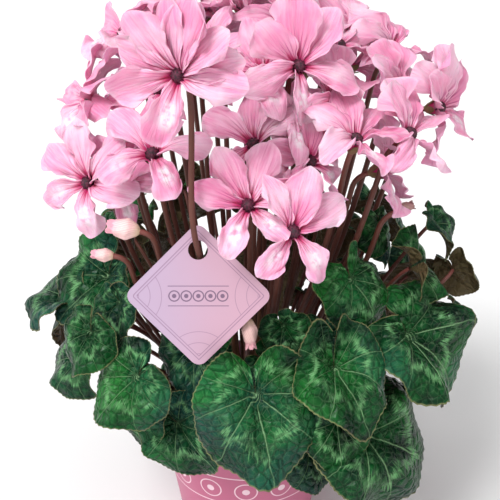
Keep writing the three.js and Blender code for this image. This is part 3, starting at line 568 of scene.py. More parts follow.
def plans(first, keys, rows):
    return [Plan(number, keys, row) for number, row in enumerate(rows, first)]


def groups(plans):
    """Plans that grew into one another, together"""
    found = []
    for plan in plans:
        if plan.joins:
            found[-1].append(plan)
        else:
            found.append([plan])
    return found


# Which attempt the solids took: the one whose skin points lie where the solid has them
def tree_of(node):
    return tree_at([vertex.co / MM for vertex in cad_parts[node].data.vertices])


def tree_at(points):
    tree = kdtree.KDTree(len(points))
    for index, point in enumerate(points):
        tree.insert(Vector(point) * MM, index)
    tree.balance()
    return tree


def misses(tree, points, radius, count):
    """How far the nearest skin points are from lying at a radius round the given ones"""
    total = 0
    for point in points:
        for _, _, distance in tree.find_n(Vector(point * MM), count):
            total += min(1, abs(distance / MM - radius))
    return total


def grown(make, probe, tree, radius, count):
    """What is made at the attempt whose probe points miss the solid's skin least"""
    best = None
    for attempt in range(ATTEMPTS):
        made = make(attempt)
        missed = misses(tree, probe(made), radius, count)
        if best is None or missed < best[0]:
            best = (missed, made)
        if missed < 0.1:
            break
    return best[1]


def grown_petal(bloom, number, tree):
    along = np.array((0.32, 0.72, 1, 1))
    across = np.array((0, 0, -1, 1))
    return grown(lambda attempt: Petal(bloom, number, attempt),
                 lambda petal: bloom.stand.out(petal.plain(along, across)),
                 tree, PETAL_THICKNESS / 2, 2)


def grown_leaf(plan, tree):
    angles = np.linspace(NOTCH - math.pi, math.pi - NOTCH, 17)[2::4]
    return grown(lambda attempt: Leaf(plan, attempt),
                 lambda leaf: leaf.stand.out(leaf.points(angles, 1, TOOTH)),
                 tree, LEAF_THICKNESS / 2, 2)


def grown_stalk(tip, tree):
    return joined(grown(lambda attempt: stalk_curves(tip, attempt),
                        lambda curves: curves[0][::STALK_FINER][-2:], tree, STALK_RADIUS, 4))


# Skins
def grid_faces(rows, columns, wraps):
    """Quads between the points of a grid, row by row"""
    index = np.arange(rows * columns).reshape(rows, columns)
    if wraps:
        index = np.concatenate((index, index[:, :1]), axis=1)
    corners = (index[:-1, :-1], index[:-1, 1:], index[1:, 1:], index[1:, :-1])
    return np.stack(corners, axis=-1).reshape(-1, 4)


def both_sides(front, count, loops):
    """Faces of a sheet's two sides and of the rims along the given loops of its points"""
    rims = []
    for loop in loops:
        after = np.roll(loop, -1)
        rims.append(np.stack((loop, loop + count, after + count, after), axis=-1))
    return np.concatenate((front, front[:, ::-1] + count, *rims))


def sheet(grid, thickness):
    """Both faces and the rim of a thin sheet, from the grid of its middle"""
    rows, columns = grid.shape[:2]
    normals = np.cross(np.gradient(grid, axis=1), np.gradient(grid, axis=0))
    lengths = np.linalg.norm(normals, axis=2, keepdims=True)
    normals = normals / np.maximum(lengths, 1e-9)
    if lengths[0].max() < 1e-6:
        normals[0] = unit(normals[1].mean(axis=0))
    half = normals * np.reshape(thickness, (-1, 1, 1)) / 2
    points = np.concatenate(((grid + half).reshape(-1, 3), (grid - half).reshape(-1, 3)))
    index = np.arange(rows * columns).reshape(rows, columns)
    loop = np.concatenate((index[0], index[1:, -1], index[-1, -2::-1], index[-2:0:-1, 0]))
    return points, both_sides(grid_faces(rows, columns, False), index.size, [loop])


def tube(points, radii, sides):
    """A round tube along a line of points"""
    along = np.gradient(points, axis=0)
    along /= np.linalg.norm(along, axis=1, keepdims=True)
    across = np.cross(along[0], (0.3, 1, 0.1))
    turn = turns(sides)[:, None]
    rings = []
    for point, ahead, radius in zip(points, along, radii):
        across = unit(across - ahead * across.dot(ahead))
        third = np.cross(ahead, across)
        rings.append(point + radius * (np.cos(turn) * across + np.sin(turn) * third))
    return np.concatenate(rings), grid_faces(len(rings), sides, True)


def turned(profile, sides):
    """A profile of radius and height pairs, turned round the z axis"""
    radius, height = np.array(profile, dtype=float).T[..., None]
    ring = np.array((np.cos(turns(sides)), np.sin(turns(sides))))
    points = np.stack((*(radius * ring[:, None]), height * np.ones(sides)), axis=-1)
    return points.reshape(-1, 3), grid_faces(len(profile), sides, True)


class Skin:
    """The points, faces and painted values of one piece, as they are gathered"""

    def __init__(self):
        self.points = []
        self.faces = []
        self.values = {}
        self.count = 0

    def add(self, points, faces, **values):
        self.points.append(points)
        self.faces += (faces + self.count).tolist()
        for name, value in values.items():
            self.values.setdefault(name, []).append(np.broadcast_to(value, len(points)))
        self.count += len(points)

    def add_sides(self, points, faces, both, **values):
        """A sheet, with the values that both its sides have, and back as 1 on the second side"""
        both = {name: np.tile(value.ravel(), 2) for name, value in both.items()}
        self.add(points, faces, back=np.repeat((0.0, 1.0), len(points) // 2), **both, **values)

    def piece(self, name, material, slot, *nodes):
        """The finished piece, which stands for the given solids"""
        mesh = bpy.data.meshes.new(name)
        mesh.from_pydata((np.concatenate(self.points) * MM).tolist(), [], self.faces)
        for value, parts in self.values.items():
            layer = mesh.attributes.new(value, "FLOAT", "POINT")
            layer.data.foreach_set("value", np.concatenate(parts).astype(np.float32))
        weld(mesh)
        mesh.set_sharp_from_angle(angle=math.radians(65))
        mesh.materials.append(material)
        piece = linked(name, mesh)
        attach(piece, "root")
        if nodes:
            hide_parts(*nodes)


def weld(mesh):
    """Joins points that lie on each other, as at the middle of a leaf, and turns faces outward"""
    work = bmesh.new()
    work.from_mesh(mesh)
    bmesh.ops.remove_doubles(work, verts=work.verts, dist=1e-6)
    bmesh.ops.recalc_face_normals(work, faces=work.faces)
    for face in work.faces:
        face.smooth = True
    work.to_mesh(mesh)
    work.free()


def linked(name, data):
    """A new object of the scene"""
    made = bpy.data.objects.new(name, data)
    bpy.context.scene.collection.objects.link(made)
    return made


# Materials
def paint(code):
    """A colour from its six-digit code"""
    shares = [int(code[i:i + 2], 16) / 255 for i in (0, 2, 4)]
    return (*[((share + 0.055) / 1.055) ** 2.4 for share in shares], 1)


class Nodes:
    """A tree of shading nodes, as it is put together"""

    def __init__(self, tree):
        self.tree = tree

    def feed(self, socket, value):
        if isinstance(value, bpy.types.NodeSocket):
            self.tree.links.new(value, socket)
        else:
            socket.default_value = value

    def node(self, kind, output, inputs, **settings):
        made = self.tree.nodes.new(kind)
        for name, value in settings.items():
            setattr(made, name, value)
        for name, value in inputs.items():
            self.feed(made.inputs[name], value)
        return made.outputs[output]

    def math(self, operation, *values):
        return self.node("ShaderNodeMath", 0, dict(enumerate(values)), operation=operation)

    def size(self, value):
        return self.math("ABSOLUTE", value)

    def most(self, first, second):
        return self.math("MAXIMUM", first, second)

    def times(self, first, *others):
        for other in others:
            first = self.math("MULTIPLY", first, other)
        return first

    def shift(self, base, value, factor):
        """The base plus the value times a factor"""
        return self.math("MULTIPLY_ADD", value, factor, base)

    def radius(self, x, y):
        return self.math("POWER", self.shift(self.times(x, x), y, y), 0.5)

    def ramp(self, value, low, high, start=0.0, end=1.0):
        """Goes smoothly from start to end as the value goes from low to high"""
        inputs = {"Value": value, "From Min": low, "From Max": high, "To Min": start, "To Max": end}
        return self.node("ShaderNodeMapRange", 0, inputs, interpolation_type="SMOOTHSTEP")

    def fade(self, value, low, high, start=1.0):
        return self.ramp(value, low, high, start, 0.0)

    def line(self, value, at, low, high):
        """1 where the value is within low of the given one, 0 where it is high or more away"""
        return self.fade(self.size(self.math("SUBTRACT", value, at)), low, high)

    def lines(self, value, period, width):
        """1 on thin lines that come at each period of the value, 0 between them"""
        return self.fade(self.math("PINGPONG", value, period / 2), 0.0, width)


class Look(Nodes):
    """The nodes of one material, whose colour is laid on coat by coat"""

    def __init__(self, name, roughness=0.5):
        self.material = bpy.data.materials.new(name)
        self.material.use_nodes = True
        super().__init__(self.material.node_tree)
        self.set("Roughness", roughness)

    def set(self, name, value):
        self.feed(self.tree.nodes["Principled BSDF"].inputs[name], value)

    def values(self, *names):
        """Values that the piece's points carry"""
        return [self.node("ShaderNodeAttribute", "Fac", {}, attribute_name=name) for name in names]

    def place(self):
        return self.node("ShaderNodeTexCoord", "Object", {})

    def part(self, axis):
        return self.node("ShaderNodeSeparateXYZ", axis, {"Vector": self.place()})

    def vector(self, x, y, z):
        return self.node("ShaderNodeCombineXYZ", 0, {"X": x, "Y": y, "Z": z})

    def noise(self, scale, detail=3.0, at=None):
        inputs = {"Vector": at or self.place(), "Scale": scale, "Detail": detail}
        return self.node("ShaderNodeTexNoise", 0, inputs)

    def clouds(self, scale, low, high, *ends):
        """Soft patches of noise"""
        return self.ramp(self.noise(scale), low, high, *ends)

    def cells(self, scale):
        """The distance from the edges between cells"""
        inputs = {"Vector": self.place(), "Scale": scale}
        return self.node("ShaderNodeTexVoronoi", "Distance", inputs, feature="DISTANCE_TO_EDGE")

    def mix(self, amount, first, second):
        """A colour between two others, each given by its code or its socket"""
        first, second = (paint(each) if isinstance(each, str) else each for each in (first, second))
        return self.node("ShaderNodeMix", 2, {0: amount, 6: first, 7: second}, data_type="RGBA")

    def base(self, amount, first, second):
        self.colour = self.mix(amount, first, second)

    def coat(self, amount, colour):
        self.colour = self.mix(amount, self.colour, colour)

    def bump(self, height, depth):
        inputs = {"Strength": 1.0, "Distance": depth * MM, "Height": height}
        self.set("Normal", self.node("ShaderNodeBump", 0, inputs))

    def finished(self):
        self.set("Base Color", self.colour)
        return self.material


def petal_material():
    """Pink streaks and veins, a deep pink throat, a pale crest on the hanging petals, and painted
    highlight: pale patches and a paler rim
    """
    look = Look("petal", 0.55)
    out, across, low, back, tint = look.values("out", "across", "low", "back", "tint")
    side = look.size(across)
    lengthwise = look.vector(look.times(across, 4.0), out, look.times(tint, 40.0))
    streaks = look.noise(2.0, 4.0, lengthwise)
    look.base(look.ramp(streaks, 0.3, 0.7), "ea8fb5", "f6b1cc")
    look.coat(look.ramp(tint, 0.3, 1.0, 0.0, 0.55), "dd6b9d")
    # Pale patches at random: painted highlight on whole petals and on parts of them
    look.coat(look.clouds(32.0, 0.42, 0.7, 0.0, 0.75), "fad0e0")
    # Paler rim along the edges and the tip: painted highlight
    rim = look.most(look.ramp(side, 0.75, 1.0), look.ramp(out, 0.9, 1.0))
    look.coat(look.times(rim, 0.4), "f7c9da")
    sway = look.shift(across, look.noise(1.5, 3.0, lengthwise), 0.35)
    veins = look.lines(sway, 0.17, 0.028)
    look.coat(look.times(veins, look.ramp(out, 0.2, 0.8, 0.3, 0.02)), "c05f90")
    length = look.shift(out, look.noise(4.0, 2.0, lengthwise), -0.5)
    strokes = look.times(look.lines(sway, 0.26, 0.06), look.fade(length, 0.0, 0.34, 0.8))
    look.coat(strokes, "b8307a")
    throat = look.shift(look.shift(out, side, 0.1), streaks, 0.1)
    look.coat(look.fade(throat, 0.17, 0.36, 0.97), "c90f69")
    patch = look.times(look.ramp(out, 0.3, 0.45), look.fade(out, 0.6, 0.85),
                       look.fade(side, 0.2, 0.7), look.ramp(low, 0.55, 0.85), 0.85)
    crumbs = look.clouds(260.0, 0.42, 0.7)
    look.coat(patch, look.mix(crumbs, "fdeaf1", "f0a3c4"))
    reverse = look.mix(look.times(veins, 0.3), "d796b6", "b4668f")
    reverse = look.mix(look.fade(out, 0.0, 0.35, 0.6), reverse, "b34684")
    look.coat(look.times(back, 0.75), reverse)
    look.set("Subsurface Weight", 0.45)
    look.set("Subsurface Radius", (1.0, 0.4, 0.6))
    look.set("Subsurface Scale", 2.0 * MM)
    look.set("Sheen Weight", 0.2)
    look.bump(look.shift(streaks, veins, -0.4), 0.4)
    return look.finished()


def leaf_material():
    """Dark green with painted shade and highlight on small cells, painted sunlit and sheen patches, pale
    veins, a feathered silver band round the middle, and a brown back
    """
    look = Look("leaf")
    angle, share, back, tint = look.values("angle", "share", "back", "tint")
    look.base(look.clouds(55.0, 0.3, 0.7), "020f06", "125020")
    look.coat(look.times(tint, 0.6), "0f2f29")
    # Bright green patches at random: painted sunlight
    look.coat(look.clouds(20.0, 0.45, 0.75, 0.0, 0.5), "2c8a34")
    # Bluish patches at random: painted sheen of the sky
    look.coat(look.clouds(11.0, 0.48, 0.7, 0.0, 0.5), "245450")
    domes = look.cells(150.0)
    # Painted shade along the borders of the small cells, and painted highlight on the domes between them
    look.coat(look.fade(domes, 0.0, 0.14, 0.45), "020c05")
    look.coat(look.ramp(domes, 0.2, 0.5, 0.0, 0.15), "3d8542")
    rayed = look.vector(look.times(angle, 11.0), share, look.times(tint, 30.0))
    band = look.shift(share, look.math("PINGPONG", angle, RIB_STEP / 2), 0.45)
    band = look.shift(band, look.noise(3.2, 5.0, rayed), 0.42)
    silver = look.times(look.ramp(band, 0.79, 0.88), look.fade(band, 0.89, 0.98),
                        look.clouds(85.0, 0.35, 0.62, 0.15, 1.0), 0.5)
    look.coat(silver, "86c684")
    swayed = look.shift(angle, look.noise(70.0, 2.0), 0.12)
    ribs = look.times(look.math("PINGPONG", swayed, RIB_STEP / 2), share)
    net = look.fade(look.cells(230.0), 0.0, 0.07, 0.22)
    veins = look.most(look.fade(ribs, 0.0, 0.016), net)
    veins = look.times(veins, look.ramp(share, 0.3, 1.0, 0.6, 0.25))
    look.coat(veins, "93bd8a")
    look.coat(look.ramp(share, 0.975, 0.992, 0.0, 0.55), "8e8a60")
    under = look.mix(look.noise(45.0), "4d3c2b", "575237")
    look.coat(back, look.mix(look.times(veins, 0.8), under, "8c6450"))
    look.set("Roughness", look.clouds(50.0, 0.3, 0.7, 0.25, 0.42))
    look.set("Specular IOR Level", 0.11)
    look.bump(look.math("SUBTRACT", look.times(domes, 2.4), veins), 1.8)
    return look.finished()


def stalk_material():
    """Reddish brown, greener at the root and redder at the tip"""
    look = Look("stalk")
    out, = look.values("out")
    look.base(look.noise(120.0), "4f271c", "6b382b")
    look.coat(look.ramp(out, 0.75, 1.0, 0.0, 0.6), "8a4a45")
    look.coat(look.fade(out, 0.0, 0.35, 0.5), "6d5a3c")
    look.bump(look.noise(900.0), 0.15)
    return look.finished()


def bud_material():
    look = Look("bud", 0.6)
    withered, out, across = look.values("withered", "out", "across")
    look.base(look.ramp(out, 0.0, 0.35), "d9c69a", "f7cfcb")
    look.coat(look.ramp(out, 0.6, 1.0), "f7b3c4")
    look.coat(look.times(look.lines(across, 0.2, 0.05), 0.6), "dd8fa0")
    look.coat(withered, look.mix(look.noise(300.0), "6b4744", "a58a74"))
    look.bump(look.noise(500.0), 0.3)
    return look.finished()


def plain_material(name, first, second, scale, roughness, depth):
    """A material of two colours mingled at one scale"""
    look = Look(name, roughness)
    grain = look.noise(scale, 6.0)
    look.base(look.ramp(grain, 0.35, 0.65), first, second)
    look.bump(grain, depth)
    return look.finished()


def pot_material():
    """Dusty rose, with a paler row of dotted rings between two lines"""
    look = Look("pot", 0.42)
    look.base(look.noise(14.0), "b4587a", "bd6484")
    height, outside = look.values("height", "outside")
    height = look.math("SUBTRACT", height, PRINT_MIDDLE)
    turn = look.math("ARCTAN2", look.part("X"), look.part("Y"))
    aside = look.times(look.math("PINGPONG", turn, math.pi / PRINT_RINGS), PRINT_RADIUS)
    centre = look.radius(aside, height)
    ring = look.most(look.line(centre, PRINT_RING, 0.35, 0.6), look.fade(centre, 2.6, 2.9))
    printed = look.most(look.line(look.size(height), PRINT_HALF, 0.35, 0.6), ring)
    look.coat(look.times(printed, outside, 0.85), "f2d5df")
    return look.finished()


def card_material():
    """A pale card, lilac to pink across it as painted sheen: a thin double border, arcs in three corners
    and a chain of rings across it
    """
    look = Look("card", 0.35)
    edge, arc, aside, rise, back = look.values("edge", "arc", "aside", "rise", "back")
    # Lilac shading to pink across the card: painted sheen
    look.base(look.ramp(look.shift(aside, look.noise(20.0), 30.0), -20.0, 40.0), "b39db6", "c099ab")
    front = look.math("SUBTRACT", 1.0, back)
    outer, inner = BORDERS
    border = look.most(look.line(edge, outer, 0.15, 0.35), look.line(edge, inner, 0.12, 0.28))
    within = look.times(look.ramp(edge, inner, inner + 0.3), look.fade(arc, 23.2, 23.6))
    arcs = look.times(look.lines(arc, ARC_STEP, 0.3), within)
    look.coat(look.times(look.most(border, arcs), front, 0.75), "80607c")
    centre = look.radius(look.math("PINGPONG", aside, CHAIN_STEP / 2), rise)
    chain = look.most(look.line(centre, CHAIN_RADIUS, 0.24, 0.56), look.fade(centre, 1.2, 1.5))
    chain = look.most(chain, look.line(look.size(rise), CHAIN_RULE, 0.15, 0.35))
    length = look.fade(look.size(aside), CHAIN_HALF, CHAIN_HALF + 0.3)
    look.coat(look.times(chain, length, front, 0.85), "5d4763")
    return look.finished()


# Pieces
def card_outline(half, corner, count):
    """Points at even distances round a square that stands on one of its rounded corners"""
    middle = np.arange(1, 5)[:, None] * math.pi / 2
    turn = middle + np.linspace(-math.pi / 4, math.pi / 4, 9)
    centre = (half - corner) * math.sqrt(2)
    arcs = np.stack((centre * np.cos(middle) + corner * np.cos(turn),
                     centre * np.sin(middle) + corner * np.sin(turn))).reshape(2, -1)
    arcs = np.concatenate((arcs, arcs[:, :1]), axis=1)
    steps = np.linalg.norm(np.diff(arcs), axis=0)
    lengths = np.concatenate(((0,), np.cumsum(steps)))
    at = np.linspace(0, lengths[-1], count, endpoint=False)
    return np.stack([np.interp(at, lengths, axis) for axis in arcs], axis=-1)


def add_card(material):
    """The tag, from rings between its hole and its outline"""
    half = TAG_SIDE / 2
    top = half * math.sqrt(2) - TAG_CORNER * (math.sqrt(2) - 1)
    hole = np.array((0, top - TAG_HOLE_TO_TOP))
    outline = card_outline(half, TAG_CORNER, CARD_COLUMNS)
    toward = outline - hole
    inner = hole + TAG_HOLE_RADIUS * toward / np.linalg.norm(toward, axis=1, keepdims=True)
    shares = np.linspace(0, 1, CARD_ROWS)[:, None, None]
    spot = (inner + shares * (outline - inner)).reshape(-1, 2)
    edge = half - np.abs(spot @ (np.array(((1, -1), (1, 1))) / math.sqrt(2))).max(axis=1)
    corners = top * np.array(((0, -1), (1, 0), (-1, 0)))
    arc = np.linalg.norm(spot[:, None] - corners, axis=2).min(axis=1)
    local = np.concatenate((spot - hole, np.zeros((len(spot), 1))), axis=1)
    stand = Stand(place(*TAG_HOLE), direction(0, TAG_TILT), 0)
    thick = np.array((0, 0, TAG_THICKNESS / 2))
    points = np.concatenate((stand.out(local + thick), stand.out(local - thick)))
    index = np.arange(len(spot)).reshape(CARD_ROWS, CARD_COLUMNS)
    front = grid_faces(CARD_ROWS, CARD_COLUMNS, True)
    faces = both_sides(front, len(spot), (index[0], index[-1]))
    skin = Skin()
    skin.add_sides(points, faces, {"edge": edge, "arc": arc, "aside": spot[:, 0], "rise": spot[:, 1]})
    skin.piece("card", material, "tag", "tag")


def add_pot(material):
    band = POT_HEIGHT - POT_RIM_DEPTH
    step = POT_RIM_RADIUS - POT_RIM_STEP
    rim = POT_RIM_RADIUS
    outer = [(0, 0), (POT_BASE_RADIUS - 1.5, 0), (POT_BASE_RADIUS - 0.4, 0.5), (POT_BASE_RADIUS, 1.5),
             (step - 0.8, band - 1), (rim - 0.8, band - 0.6), (rim - 0.6, band + 0.3),
             (rim, POT_HEIGHT - 1.6), (rim - 0.3, POT_HEIGHT - 0.5), (rim - 0.9, POT_HEIGHT)]
    inner = [(rim - 2.4, POT_HEIGHT), (rim - 3, POT_HEIGHT - 0.5), (rim - 3.2, POT_HEIGHT - 1.4),
             (step - 0.8 - POT_WALL, band - 1), (POT_BASE_RADIUS - POT_WALL, 3), (0, 3)]
    points, faces = turned(outer + inner, POT_SIDES)
    outside = np.repeat((1.0, 0.0), (len(outer) * POT_SIDES, len(inner) * POT_SIDES))
    add_alone("pot_shell", material, "pot", points, faces, height=points[:, 2], outside=outside)


def bumpy(points, size, scale):
    """Points moved up or down by a smooth seeded roughness"""
    moved = points.copy()
    x, y = points[:, 0] / scale, points[:, 1] / scale
    moved[:, 2] += size * (np.sin(2.1 * x + 1.3 * np.sin(1.7 * y)) * np.sin(2.3 * y + np.sin(1.9 * x))
                           + 0.5 * np.sin(5.3 * x + 2.0 * y) * np.sin(4.7 * y - 1.4 * x))
    return moved


def add_soil(material):
    top = POT_RIM_RADIUS - POT_RIM_STEP - 0.8 - POT_WALL - 0.6
    radii = np.linspace(top + 0.2, 26, 40)
    surface = [(radius, SOIL_TOP - 0.5) for radius in radii]
    points, faces = turned([(0, 3.5), (POT_BASE_RADIUS - POT_WALL - 1, 3.5), (top - 1, SOIL_TOP - 5)]
                           + surface + [(0, SOIL_TOP - 0.5)], SOIL_SIDES)
    upper = points[:, 2] > SOIL_TOP - 2
    points[upper] = bumpy(points[upper], 0.9, 2.4)
    add_alone("soil_bed", material, "soil", points, faces)


def add_corm(material):
    middle = CORM_TOP - CORM_THICKNESS / 2
    profile = [(0, middle - CORM_THICKNESS / 2)]
    for degree in range(-75, 46, 8):
        angle = math.radians(degree)
        profile.append((CORM_RADIUS * math.cos(angle) ** 0.8,
                        middle + CORM_THICKNESS / 2 * math.sin(angle)))
    profile += [(31.5, CORM_TOP), (20, CORM_TOP + 1.5), (8, CORM_TOP + 2), (0, CORM_TOP + 2)]
    points, faces = turned(profile, CORM_SIDES)
    add_alone("corm_body", material, "corm", bumpy(points, 0.5, 3.5), faces)


def add_alone(name, material, node, points, faces, **values):
    """A piece of one form, which stands for the solid of that node"""
    skin = Skin()
    skin.add(points, faces, **values)
    skin.piece(name, material, node, node)


class Crowd:
    """Points of all that stands, each with the number of its owner"""

    def __init__(self, owned):
        self.tree = tree_at(np.concatenate([points for _, points in owned]))
        self.owners = np.repeat([owner for owner, _ in owned], [len(points) for _, points in owned])

    def leaves_room(self, points, reach, owner):
        """Whether nothing of another owner is within reach of the points"""
        return not any(self.owners[index] != owner for point in points
                       for _, index, _ in self.tree.find_range(Vector(point * MM), reach * MM))


def fill_blooms(blooms, standing):
    """Adds petals behind the upper ones wherever they keep clear of the other blooms"""
    def own(bloom, petals):
        return [(bloom.number, bloom.stand.out(petal_grid(petal)[0].reshape(-1, 3))) for petal in petals]

    owned = [(0, points) for points in standing]
    for bloom in blooms:
        owned += own(bloom, bloom.grown)
    along, across = spots_of(np.linspace(0.3, 1, 7), np.linspace(-1, 1, 7))
    for bloom in blooms:
        if bloom.number in PLAIN_BLOOMS:
            continue
        crowd = Crowd(owned)
        found = []
        for first, second in zip(bloom.grown, bloom.grown[1:] + bloom.grown[:1]):
            if draw(first.item, 0, 81) > 2 * FILLER_SHARE - 1:
                continue
            for share in FILLER_LENGTHS:
                petal = filler(first, second, share)
                points = bloom.stand.out(petal.plain(along, across))
                clear = crowd.leaves_room(points, FILLER_CLEARANCE, bloom.number)
                if clear and petal.low < FILLER_LOWEST:
                    found.append(petal)
                    break
        owned += own(bloom, found)
        bloom.grown += found


def add_blooms(blooms, standing, material, calyx_material, eye_material):
    calyces, eyes = Skin(), Skin()
    nodes = [(f"{number:02d}", group) for number, group in enumerate(groups(blooms), 1)]
    for number, group in nodes:
        tree = tree_of(f"bloom_{number}")
        for bloom in group:
            bloom.grown = [grown_petal(bloom, each, tree) for each in range(bloom.petals)]
    fill_blooms(blooms, standing)
    for number, group in nodes:
        skin = Skin()
        for bloom in group:
            for petal in bloom.grown:
                add_petal(skin, bloom, petal)
            add_calyx(calyces, bloom)
            add_eye(skin, eyes, bloom)
        skin.piece(f"petals_{number}", material, "petal", f"bloom_{number}")
    calyces.piece("calyces", calyx_material, "stalk")
    eyes.piece("eyes", eye_material, "petal")


def add_petal(skin, bloom, petal):
    grid, out, across = petal_grid(petal)
    thickness = np.linspace(PETAL_THICKNESS, PETAL_THICKNESS / 2, PETAL_ROWS)
    points, faces = sheet(bloom.stand.out(grid), thickness)
    tint = 0.5 + 0.5 * draw(petal.item, 0, 41)
    skin.add_sides(points, faces, {"out": out, "across": across}, low=petal.low, tint=tint)


def add_scale(skin, stand, angle, radial, rise, half, thickness, **values):
    """A small pointed leaf beside an axis, from its middle line's distance and height"""
    along, across = grid_of(np.linspace(0, 1, SCALE_ROWS), np.linspace(-1, 1, SCALE_COLUMNS))
    side = across * half * np.sqrt(1 - along ** 2) * (0.9 + 0.4 * along)
    grid = around(angle, radial(along) - 0.3 * across ** 2, side, rise(along))
    skin.add(*sheet(stand.out(grid), np.full(SCALE_ROWS, thickness)), **values)


def add_calyx(skin, bloom):
    """A small cup with five pointed sepals that lie against the petals' tube"""
    points, faces = turned([(0, -0.6), (1.7, -0.4), (2.5, 0.6), (3.2, 3)], 20)
    skin.add(bloom.stand.out(points), faces, out=0.0)
    for number in range(5):
        add_scale(skin, bloom.stand, math.radians(72 * number + 20 * bloom.number),
                  lambda along: 2.9 + 3.2 * along + 0.5 * along ** 2,
                  lambda along: 1.5 + 7.5 * along, 2.3, 0.35, out=1.0)


def add_eye(skin, eyes, bloom):
    """The tube that the petals open from, and the cluster of anthers in it"""
    points, faces = turned([(2.6, 1.5), (4.0, 5), (4.6, PETAL_ROOT), (4.3, 8.6), (2.4, 7.4), (0, 7)], 24)
    skin.add(bloom.stand.out(points), faces, out=0.06, across=0.03, low=0.0, back=0.0, tint=0.5)
    points, faces = turned([(2.8, 7.2), (3.8, 8.4), (4.2, 9.8), (3.9, 11.4), (3.0, 12.9),
                            (1.8, 13.9), (0.8, EYE_TIP), (0, EYE_TIP - 0.4)], 30)
    ridges = 1 + 0.14 * np.tile(np.array((1, 0, -1)), len(points) // 3)
    points[:, :2] *= ridges[:, None]
    eyes.add(bloom.stand.out(points), faces)


def add_stalks(blooms, buds, material):
    tree = tree_of("flower_stalks")
    skin = Skin()
    for tip in blooms + buds:
        points = grown_stalk(tip, tree)
        points = np.concatenate((points, [tip.end + GAP * tip.axis]))
        share = np.linspace(0, 1, len(points))
        radii = STALK_ROOT - STALK_TAPER * share + 0.25 * np.exp(-((share - 1) / 0.03) ** 2)
        skin.add(*tube(points, radii, STALK_SIDES), out=np.repeat(share, STALK_SIDES))
    skin.piece("stalks", material, "stalk", "flower_stalks")
    return skin.points


def add_buds(buds, material):
    skin = Skin()
    for bud in buds:
        share = np.linspace(0, 1, BUD_ROWS)
        girth = np.interp(share, (0, 0.12, 0.42, 0.78, 1), (0.1, 0.55, 1, 0.72, 0.2)) * bud.girth
        points, faces = turned(np.stack((girth, share * bud.length), axis=-1), BUD_SIDES)
        out = np.repeat(share, BUD_SIDES)
        spiral = (5 * np.tile(turns(BUD_SIDES), BUD_ROWS) / (2 * math.pi) + 1.2 * out) % 1
        points[:, :2] *= (0.88 + 0.2 * spiral)[:, None]
        stand = Stand(bud.end - 1.5 * bud.axis, bud.axis, 0)
        skin.add(stand.out(points), faces, out=out, across=spiral, withered=bud.withered)
        for number in range(7):
            flare = 0.55 + 0.25 * draw(number, 0, 71)
            add_scale(skin, stand, 2.4 * number,
                      lambda along: bud.girth * (0.5 * (1 - along) + flare * along ** 2),
                      lambda along: bud.length * (0.62 + 0.42 * along), 0.5 * bud.girth, 0.4,
                      out=1.0, across=0.1, withered=bud.withered)
    skin.piece("buds", material, "petal")


def young_leaf(number, attempt):
    """A small leaf low among the stalks"""
    trait = [draw(number, attempt, use) for use in range(51, 58)]
    azimuth = 180 * trait[0]
    outward = 0.5 + 0.5 * trait[1]
    behind = 15 - 15 * math.cos(math.radians(azimuth))
    height = 165 + 35 * outward + 42 * trait[2] + behind
    row = (azimuth, 48 + 52 * outward, height, 38 + 9 * trait[3], azimuth + 25 * trait[4],
           38 + 16 * trait[5], 30 * trait[6], 0.12, 0.03)
    return Leaf(Plan(number, LEAF_KEYS, row), 0)


def add_young_leaves(standing, material, petiole_material):
    """Small leaves wherever they keep clear of all that stands"""
    blades, petioles = Skin(), Skin()
    crowd = Crowd([(0, points) for points in standing])
    angles, shares = spots_of(np.linspace(-3, 3, 12), (0.3, 0.65, 1.0))
    ends = []
    for number in range(FIRST_YOUNG, FIRST_YOUNG + YOUNG_LEAVES):
        for attempt in range(YOUNG_ATTEMPTS):
            leaf = young_leaf(number, attempt)
            points = leaf.stand.out(leaf.points(angles, shares, 0))
            apart = all(np.linalg.norm(leaf.origin - end) > leaf.width for end in ends)
            if apart and crowd.leaves_room(points, YOUNG_CLEARANCE, None):
                ends.append(leaf.origin)
                add_leaf(blades, petioles, leaf, YOUNG_ROWS, YOUNG_COLUMNS)
                break
    blades.piece("young_leaves", material, "leaf")
    petioles.piece("young_petioles", petiole_material, "stalk")


def add_leaf(blades, petioles, leaf, rows, columns):
    """A leaf's blade and stalk"""
    grid, angle, share = leaf_grid(leaf, rows, columns)
    middle = leaf.stand.out(grid).transpose(1, 0, 2)
    points, faces = sheet(middle, np.full(columns, BLADE_THICKNESS))
    tint = 0.5 + 0.5 * draw(leaf.number, 0, 41)
    blades.add_sides(points, faces, {"angle": angle.T, "share": share.T}, tint=tint)
    line = curve(leaf.petiole(), PETIOLE_STEPS)
    line = np.concatenate((line, [leaf.origin]))
    shares = np.linspace(0, 1, len(line))
    radii = PETIOLE_ROOT - PETIOLE_TAPER * shares
    petioles.add(*tube(line, radii, PETIOLE_SIDES), out=np.repeat(shares, PETIOLE_SIDES))


def add_leaves(leaves, material, petiole_material):
    petioles = Skin()
    standing = []
    for number, group in enumerate(groups(leaves), 1):
        node = f"leaf_{number:02d}"
        tree = tree_of(node)
        skin = Skin()
        for plan in group:
            add_leaf(skin, petioles, grown_leaf(plan, tree), LEAF_ROWS, LEAF_COLUMNS)
        standing += skin.points
        skin.piece(f"blade_{number:02d}", material, "leaf", node)
    petioles.piece("petioles", petiole_material, "stalk", "leaf_stalks")
    return standing


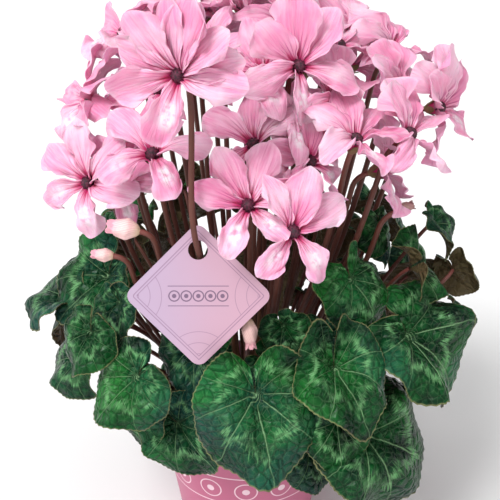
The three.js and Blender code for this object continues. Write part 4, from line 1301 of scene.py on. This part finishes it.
# Studio
def light_sky(tree):
    """A sky that is bright round the key light and along the horizon, and dimmer elsewhere"""
    sky = Nodes(tree)
    view = sky.node("ShaderNodeTexCoord", "Generated", {})
    toward = {0: view, 1: direction(*LAMPS["key"][:2])}
    facing = sky.node("ShaderNodeVectorMath", "Value", toward, operation="DOT_PRODUCT")
    rise = sky.node("ShaderNodeSeparateXYZ", "Z", {"Vector": view})
    glow = sky.ramp(facing, 0.2, 0.95, SKY_DIM, SKY_BRIGHT)
    background = tree.nodes["Background"]
    sky.feed(background.inputs["Color"], (1, 1, 1, 1))
    sky.feed(background.inputs["Strength"], sky.most(glow, sky.fade(rise, *HORIZON)))


def aimed(name, data, location, target):
    """A lamp or a camera that looks from one place to another"""
    made = linked(name, data)
    made.location = location
    made.rotation_euler = (Vector(target) - made.location).to_track_quat("-Z", "Y").to_euler()
    return made


def add_studio():
    look = Look("floor", 0.9)
    look.set("Base Color", (0.9, 0.9, 0.9, 1))
    bpy.ops.mesh.primitive_plane_add(size=FLOOR_SIZE)
    floor = bpy.context.object
    floor.name = "floor"
    floor.data.materials.append(look.material)
    world = bpy.data.worlds.new("studio")
    bpy.context.scene.world = world
    world.use_nodes = True
    light_sky(world.node_tree)
    for name, (azimuth, elevation, softness, power) in LAMPS.items():
        data = bpy.data.lights.new(name, "SUN")
        data.angle = math.radians(softness)
        data.energy = power
        lamp = aimed(name, data, direction(azimuth, elevation), (0, 0, 0))


def add_camera():
    data = bpy.data.cameras.new("camera")
    data.lens = CAMERA_LENS
    data.sensor_width = CAMERA_SENSOR
    target = np.array(CAMERA_TARGET)
    location = target + CAMERA_DISTANCE * direction(0, CAMERA_ELEVATION)
    bpy.context.scene.camera = aimed("camera", data, location * MM, target * MM)


def main():
    blooms = plans(1, BLOOM_KEYS, BLOOMS)
    buds = plans(1 + len(BLOOMS), BUD_KEYS, BUDS)
    leaves = plans(1 + len(BLOOMS) + len(BUDS), LEAF_KEYS, LEAVES)
    for bloom in blooms:
        bloom.end_at(EYE_HEIGHT)
    for bud in buds:
        bud.end_at(0)
    stalk = stalk_material()
    calyx = plain_material("calyx", "6b5a34", "84604a", 300.0, 0.6, 0.15)
    eye = plain_material("eye", "260a18", "5c1f38", 700.0, 0.6, 0.6)
    add_pot(pot_material())
    add_soil(plain_material("soil", "2a1c14", "5a4433", 160.0, 1.0, 1.2))
    add_corm(plain_material("corm", "4c382b", "6e5541", 90.0, 0.9, 0.6))
    add_card(card_material())
    standing = add_stalks(blooms, buds, stalk)
    add_buds(buds, bud_material())
    leaf = leaf_material()
    standing += add_leaves(leaves, leaf, stalk)
    add_young_leaves(standing, leaf, stalk)
    add_blooms(blooms, standing, petal_material(), calyx, eye)
    add_studio()
    add_camera()


main()
bpy.context.scene.view_settings.view_transform = "Standard"
